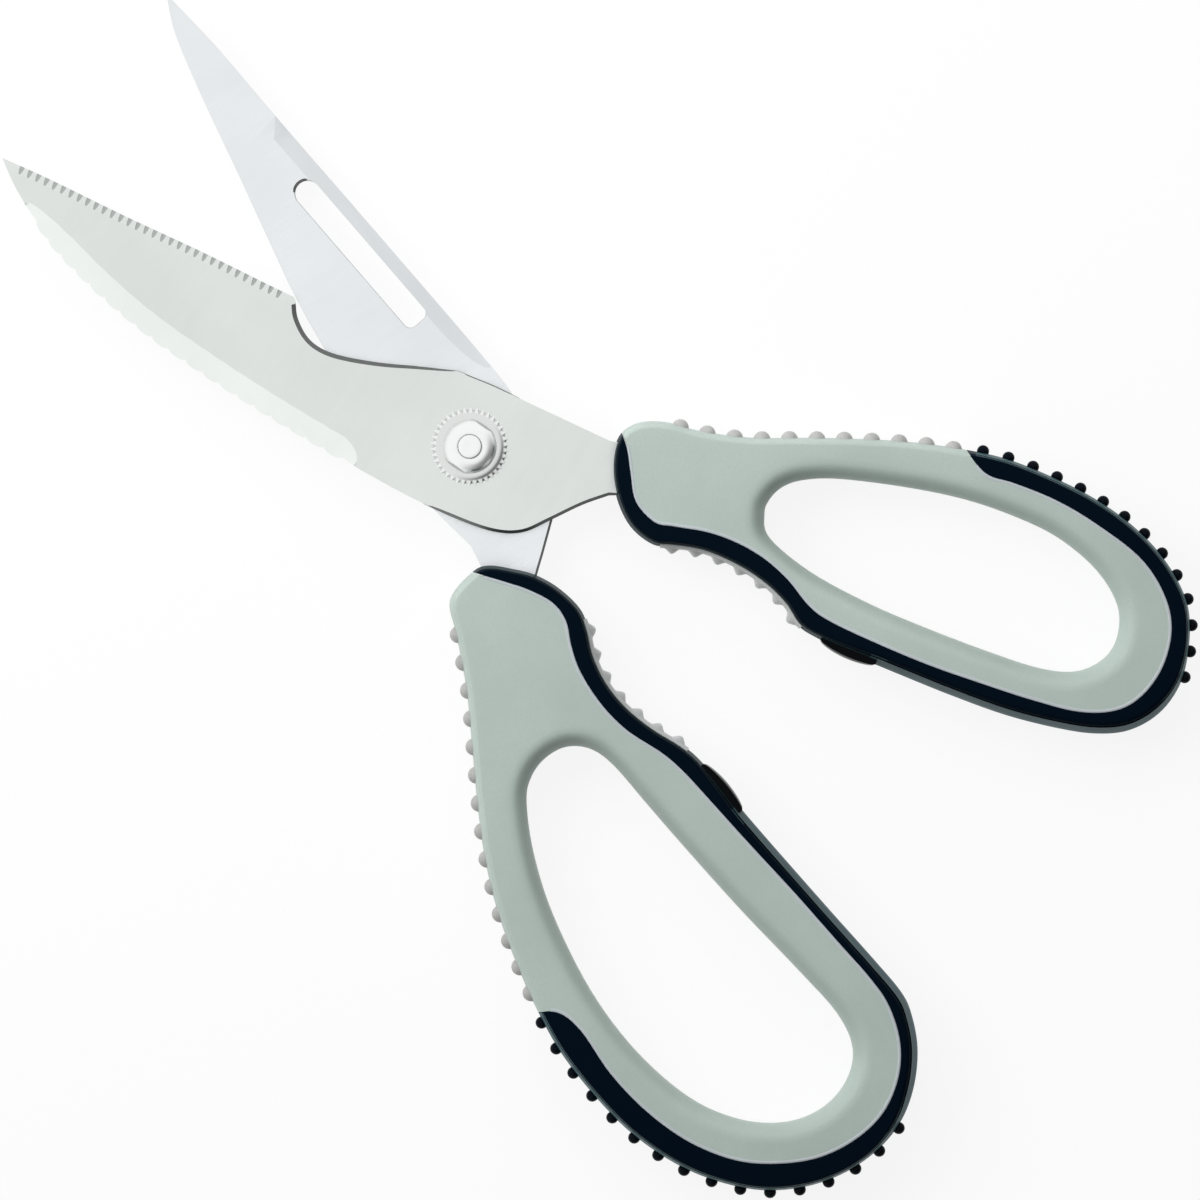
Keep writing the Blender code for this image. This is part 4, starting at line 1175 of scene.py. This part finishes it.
def add_painted_highlight_bead(shape, handle, level, width, rise, sides=8):
    """Adds the low bead that the mould leaves on both faces where the parts meet; its paleness is painted
    highlight.
    """
    line = shortened(smooth_line(handle["band"]), 4.5 * MM, 4.0 * MM)
    for way in (-1, 1):
        rings = []
        for i, place in enumerate(line):
            ring = []
            for k in range(sides):
                angle = -2 * pi * k / sides
                spot = place + outward_at(line, i) * width / 2 * (cos(angle) - 1)
                ring.append((*spot, HANDLE_MIDDLE * MM + way * (level + rise * sin(angle))))
            rings.append(ring)
        for face in join_rings(shape, rings)[1]:
            face.material_index = 2


def seated_strip(line, thickness, root, crest_at, steps=6):
    """A strip let into a handle's side, from its crest and the share of its height at each level."""
    seat = moved_line(line, -root * MM)[::-1]
    levels = []
    for k in range(-steps, steps + 1):
        crest, share = crest_at(line, k / steps)
        levels.append((crest + seat, (HANDLE_MIDDLE + thickness / 2 * share) * MM))
    return from_loops([levels])


class SHEARS_OT_handle_cores(bpy.types.Operator):
    """Builds the grey-green cores of both loop handles, with their nubs"""

    bl_idname = "shears.handle_cores"
    bl_label = "Handle Cores"

    parting = 0.1
    nub_excess = 0.45
    nub_rise = 1.2
    bead_width = 0.55
    bead_rise = 0.08

    def execute(self, context):
        sizes = context.scene.shears_sizes
        half = HANDLE_HALF * MM - sizes.band_step
        for handle in (FRONT, REAR):
            core = carved(handle_blank(handle, half, sizes), [band_side(handle, -self.parting * MM)])
            add_nubs(core, handle, "grey_nubs", sizes.nub_radius + self.nub_excess * MM, self.nub_rise * MM)
            add_painted_highlight_bead(core, handle, half, self.bead_width * MM, self.bead_rise * MM)
            bmesh.ops.recalc_face_normals(core, faces=core.faces)
            finishes = ("core_plastic", "nub_plastic", "painted_highlight_bead_plastic")
            handle_piece(handle, "_handle_core", core, "grey_green_plastic", *finishes)
        return {"FINISHED"}


class SHEARS_OT_handle_grips(bpy.types.Operator):
    """Builds the dark soft bands of both loop handles, with their nubs"""

    bl_idname = "shears.handle_grips"
    bl_label = "Handle Grips"

    groove = 0.22
    nub_rise = 1.4
    painted_sheen_reach = 1.3

    def execute(self, context):
        sizes = context.scene.shears_sizes
        for handle in (FRONT, REAR):
            blank = handle_blank(handle, HANDLE_HALF * MM, sizes, self.groove * MM)
            grip = carved(blank, [band_side(handle, 0.0)], "INTERSECT")
            self.mark_painted_sheen(grip, handle)
            add_nubs(grip, handle, "dark_nubs", sizes.nub_radius, self.nub_rise * MM)
            finishes = ("band_rubber", "nub_rubber", "painted_sheen_rubber")
            handle_piece(handle, "_handle_grip", grip, "dark_soft_rubber", *finishes)
        return {"FINISHED"}

    def mark_painted_sheen(self, grip, handle):
        """Sets the band's steep sides, but for its nose and jaw, to a lighter teal finish: a painted sheen.
        """
        line = stretch(outline_of(handle), *handle["painted_sheen_run"])
        grip.normal_update()
        for face in grip.faces:
            gap = gap_to(line, face.calc_center_median().xy)
            if abs(face.normal.z) < 0.45 and gap < self.painted_sheen_reach * MM:
                face.material_index = 2


class SHEARS_OT_jaw_ribs(bpy.types.Operator):
    """Builds the light ribbed strips that grip between the handles"""

    bl_idname = "shears.jaw_ribs"
    bl_label = "Jaw Ribs"

    ribs = 7
    rib_steps = 20
    reach = 1.25
    rib_height = 0.95
    root = 1.8
    thickness = 8.0

    def execute(self, context):
        for handle in (FRONT, REAR):
            line = stretch(outline_of(handle), *handle["jaw"])
            strip = seated_strip(line, self.thickness, self.root, self.crest_at)
            # Level tops take the paler copy of the rib plastic, a painted highlight; sloped sides take the
            # rib plastic
            mark_faces(strip, (0.97, 0.0))
            handle_piece(handle, "_jaw_ribs", strip, "light_grey_plastic", "painted_highlight_rib_plastic", "rib_plastic")
        return {"FINISHED"}

    def crest_at(self, line, share):
        """The ribbed crest at a share of half the thickness, which falls off to both faces."""
        bulge = sqrt(1 - share**2)
        low = (self.reach - self.rib_height) * (0.4 + 0.6 * bulge)
        high = low + self.rib_height * bulge
        return waves(line, self.ribs, self.rib_steps, low * MM, high * MM, rib), share


class SHEARS_OT_stop_pads(bpy.types.Operator):
    """Builds the black bumpers where the closed handles meet"""

    bl_idname = "shears.stop_pads"
    bl_label = "Stop Pads"

    pad_steps = 24
    reach = 1.1
    root = 1.4
    thickness = 9.0

    def execute(self, context):
        for handle in (FRONT, REAR):
            line = stretch(outline_of(handle), *handle["stop"])
            pad = seated_strip(line, self.thickness, self.root, self.crest_at)
            handle_piece(handle, "_stop_pad", pad, "black_bumper_rubber", "pad_rubber")
        return {"FINISHED"}

    def crest_at(self, line, share):
        """The swollen crest at a share of a quarter turn from the middle to a face."""
        angle = pi / 2 * share
        reach = self.reach * (0.35 + 0.65 * cos(angle) ** 0.6)
        return waves(line, 1, self.pad_steps, 0.0, reach * MM, hump), sin(angle)


# Stage


class SHEARS_OT_stage(bpy.types.Operator):
    """Lays the pale floor, the soft light and the camera that looks straight down"""

    bl_idname = "shears.stage"
    bl_label = "Stage"

    floor_level = -1.55 * MM
    floor_gap = 0.05 * MM
    floor_half = 4.0
    picture_turn = -46.1
    picture_centre = (-3.6 * MM, -35.6 * MM)
    # Bearing, height above the floor and distance of each lamp from its aim
    side_place = (114.9, 46.0, 0.6)
    near_place = (43.9, 50.0, 0.35)
    lamp_aim = (10.0 * MM, 10.0 * MM)
    # Bearing of the dark screen, and its share of the studio's light
    screen_bearing = -86.0
    screen_light = 0.22

    def execute(self, context):
        stage = context.scene.shears_stage
        self.floor(stage)
        self.room(context.scene, stage)
        self.lamp("side_lamp", self.side_place, stage.side_power, stage.lamp_size)
        self.lamp("near_lamp", self.near_place, stage.near_power, stage.lamp_size)
        self.camera(context.scene, stage)
        context.scene.view_settings.view_transform = "Standard"
        return {"FINISHED"}

    def bare_tree(self, owner):
        """The emptied node tree of a new material or world."""
        owner.use_nodes = True
        owner.node_tree.nodes.clear()
        return owner.node_tree

    def seen(self, tree):
        """1 for rays from the camera and from gloss and glass, which show the backdrop, else 0."""
        path = add(tree, "LightPath").outputs
        glossy = maths(tree, "MAXIMUM", path["Is Camera Ray"], path["Is Glossy Ray"])
        return maths(tree, "MAXIMUM", glossy, path["Is Transmission Ray"])

    def floor(self, stage):
        made = bmesh.new()
        bmesh.ops.create_grid(made, x_segments=8, y_segments=8, size=self.floor_half)
        floor = mesh_object("floor", made)
        floor.location.z = self.floor_level - self.floor_gap
        paper = bpy.data.materials.new("backdrop_paper")
        tree = self.bare_tree(paper)
        fibre = noise(tree, object_place(tree), 900.0, 2.0)
        pale = mixed(tree, fibre, shade(stage.backdrop, 0.96), shade(stage.backdrop, 0.98))
        matt = add(tree, "BsdfDiffuse", {"Color": pale})
        glow = add(tree, "Emission", {"Color": (*stage.backdrop, 1.0), "Strength": 1.0})
        share = times(tree, self.seen(tree), 1.0 - stage.shadow_share)
        mix = add(tree, "MixShader", {0: share, 1: matt.outputs[0], 2: glow.outputs[0]})
        add(tree, "OutputMaterial", {"Surface": mix.outputs[0]})
        floor.data.materials.append(paper)

    def room(self, scene, stage):
        """A white studio with a dark screen low on the side away from the lamps."""
        world = bpy.data.worlds.new("studio")
        tree = self.bare_tree(world)
        bearing = radians(self.screen_bearing)
        way = add(tree, "TexCoord").outputs["Generated"]
        screen = (cos(bearing), sin(bearing), 0.0)
        towards = vector_maths(tree, "DOT_PRODUCT", way, screen)["Value"]
        bright = ranged(tree, towards, 0.8, 0.2, self.screen_light, 1.0)
        camera = add(tree, "LightPath").outputs["Is Camera Ray"]
        colour = mixed(tree, maths(tree, "MAXIMUM", bright, camera), (0.0, 0.0, 0.0), stage.backdrop)
        strength = ranged(tree, self.seen(tree), 0.0, 1.0, stage.room_light, 1.0)
        sky = add(tree, "Background", {"Color": colour, "Strength": strength})
        add(tree, "OutputWorld", {"Surface": sky.outputs[0]})
        scene.world = world

    def lamp(self, name, place, power, size):
        data = bpy.data.lights.new(name, "AREA")
        data.shape = "SQUARE"
        data.size = size
        data.energy = power
        lamp = new_object(name, data)
        turn, rise, distance = radians(place[0]), radians(place[1]), place[2]
        towards = Vector((cos(turn) * cos(rise), sin(turn) * cos(rise), sin(rise)))
        lamp.location = Vector((*self.lamp_aim, 0.0)) + towards * distance
        lamp.visible_glossy = False
        lamp.rotation_euler = towards.to_track_quat("Z", "Y").to_euler()

    def camera(self, scene, stage):
        data = bpy.data.cameras.new("camera")
        data.sensor_width = 36.0
        data.lens = data.sensor_width * stage.camera_height / stage.picture_width
        data.clip_end = 20.0
        camera = new_object("camera", data)
        camera.location = (*self.picture_centre, HANDLE_MIDDLE * MM + stage.camera_height)
        camera.rotation_euler.z = radians(self.picture_turn)
        scene.camera = camera


class SHEARS_PT_panel(bpy.types.Panel):
    bl_idname = "SHEARS_PT_panel"
    bl_label = "Shears"
    bl_space_type = "VIEW_3D"
    bl_region_type = "UI"
    bl_category = "Shears"

    def draw(self, context):
        for made in OPERATORS:
            self.layout.operator(made.bl_idname)
        for name in SETTINGS:
            group = getattr(context.scene, name)
            column = self.layout.column()
            for label in group.__annotations__:
                column.prop(group, label)


SETTINGS = {"shears_sizes": ShearsSizes, "shears_colours": ShearsColours, "shears_stage": ShearsStage}
OPERATORS = (
    SHEARS_OT_finishes,
    SHEARS_OT_front_blade,
    SHEARS_OT_rear_blade,
    SHEARS_OT_pivot,
    SHEARS_OT_handle_cores,
    SHEARS_OT_handle_grips,
    SHEARS_OT_jaw_ribs,
    SHEARS_OT_stop_pads,
    SHEARS_OT_stage,
)
CLASSES = (*SETTINGS.values(), *OPERATORS, SHEARS_PT_panel)


def register():
    for made in CLASSES:
        bpy.utils.register_class(made)
    for name, group in SETTINGS.items():
        setattr(bpy.types.Scene, name, bpy.props.PointerProperty(type=group))


def unregister():
    for name in SETTINGS:
        delattr(bpy.types.Scene, name)
    for made in reversed(CLASSES):
        bpy.utils.unregister_class(made)


def main():
    register()
    bpy.ops.shears.finishes()
    bpy.ops.shears.front_blade()
    bpy.ops.shears.rear_blade()
    bpy.ops.shears.pivot()
    bpy.ops.shears.handle_cores()
    bpy.ops.shears.handle_grips()
    bpy.ops.shears.jaw_ribs()
    bpy.ops.shears.stop_pads()
    bpy.ops.shears.stage()


if __name__ == "__main__":
    main()
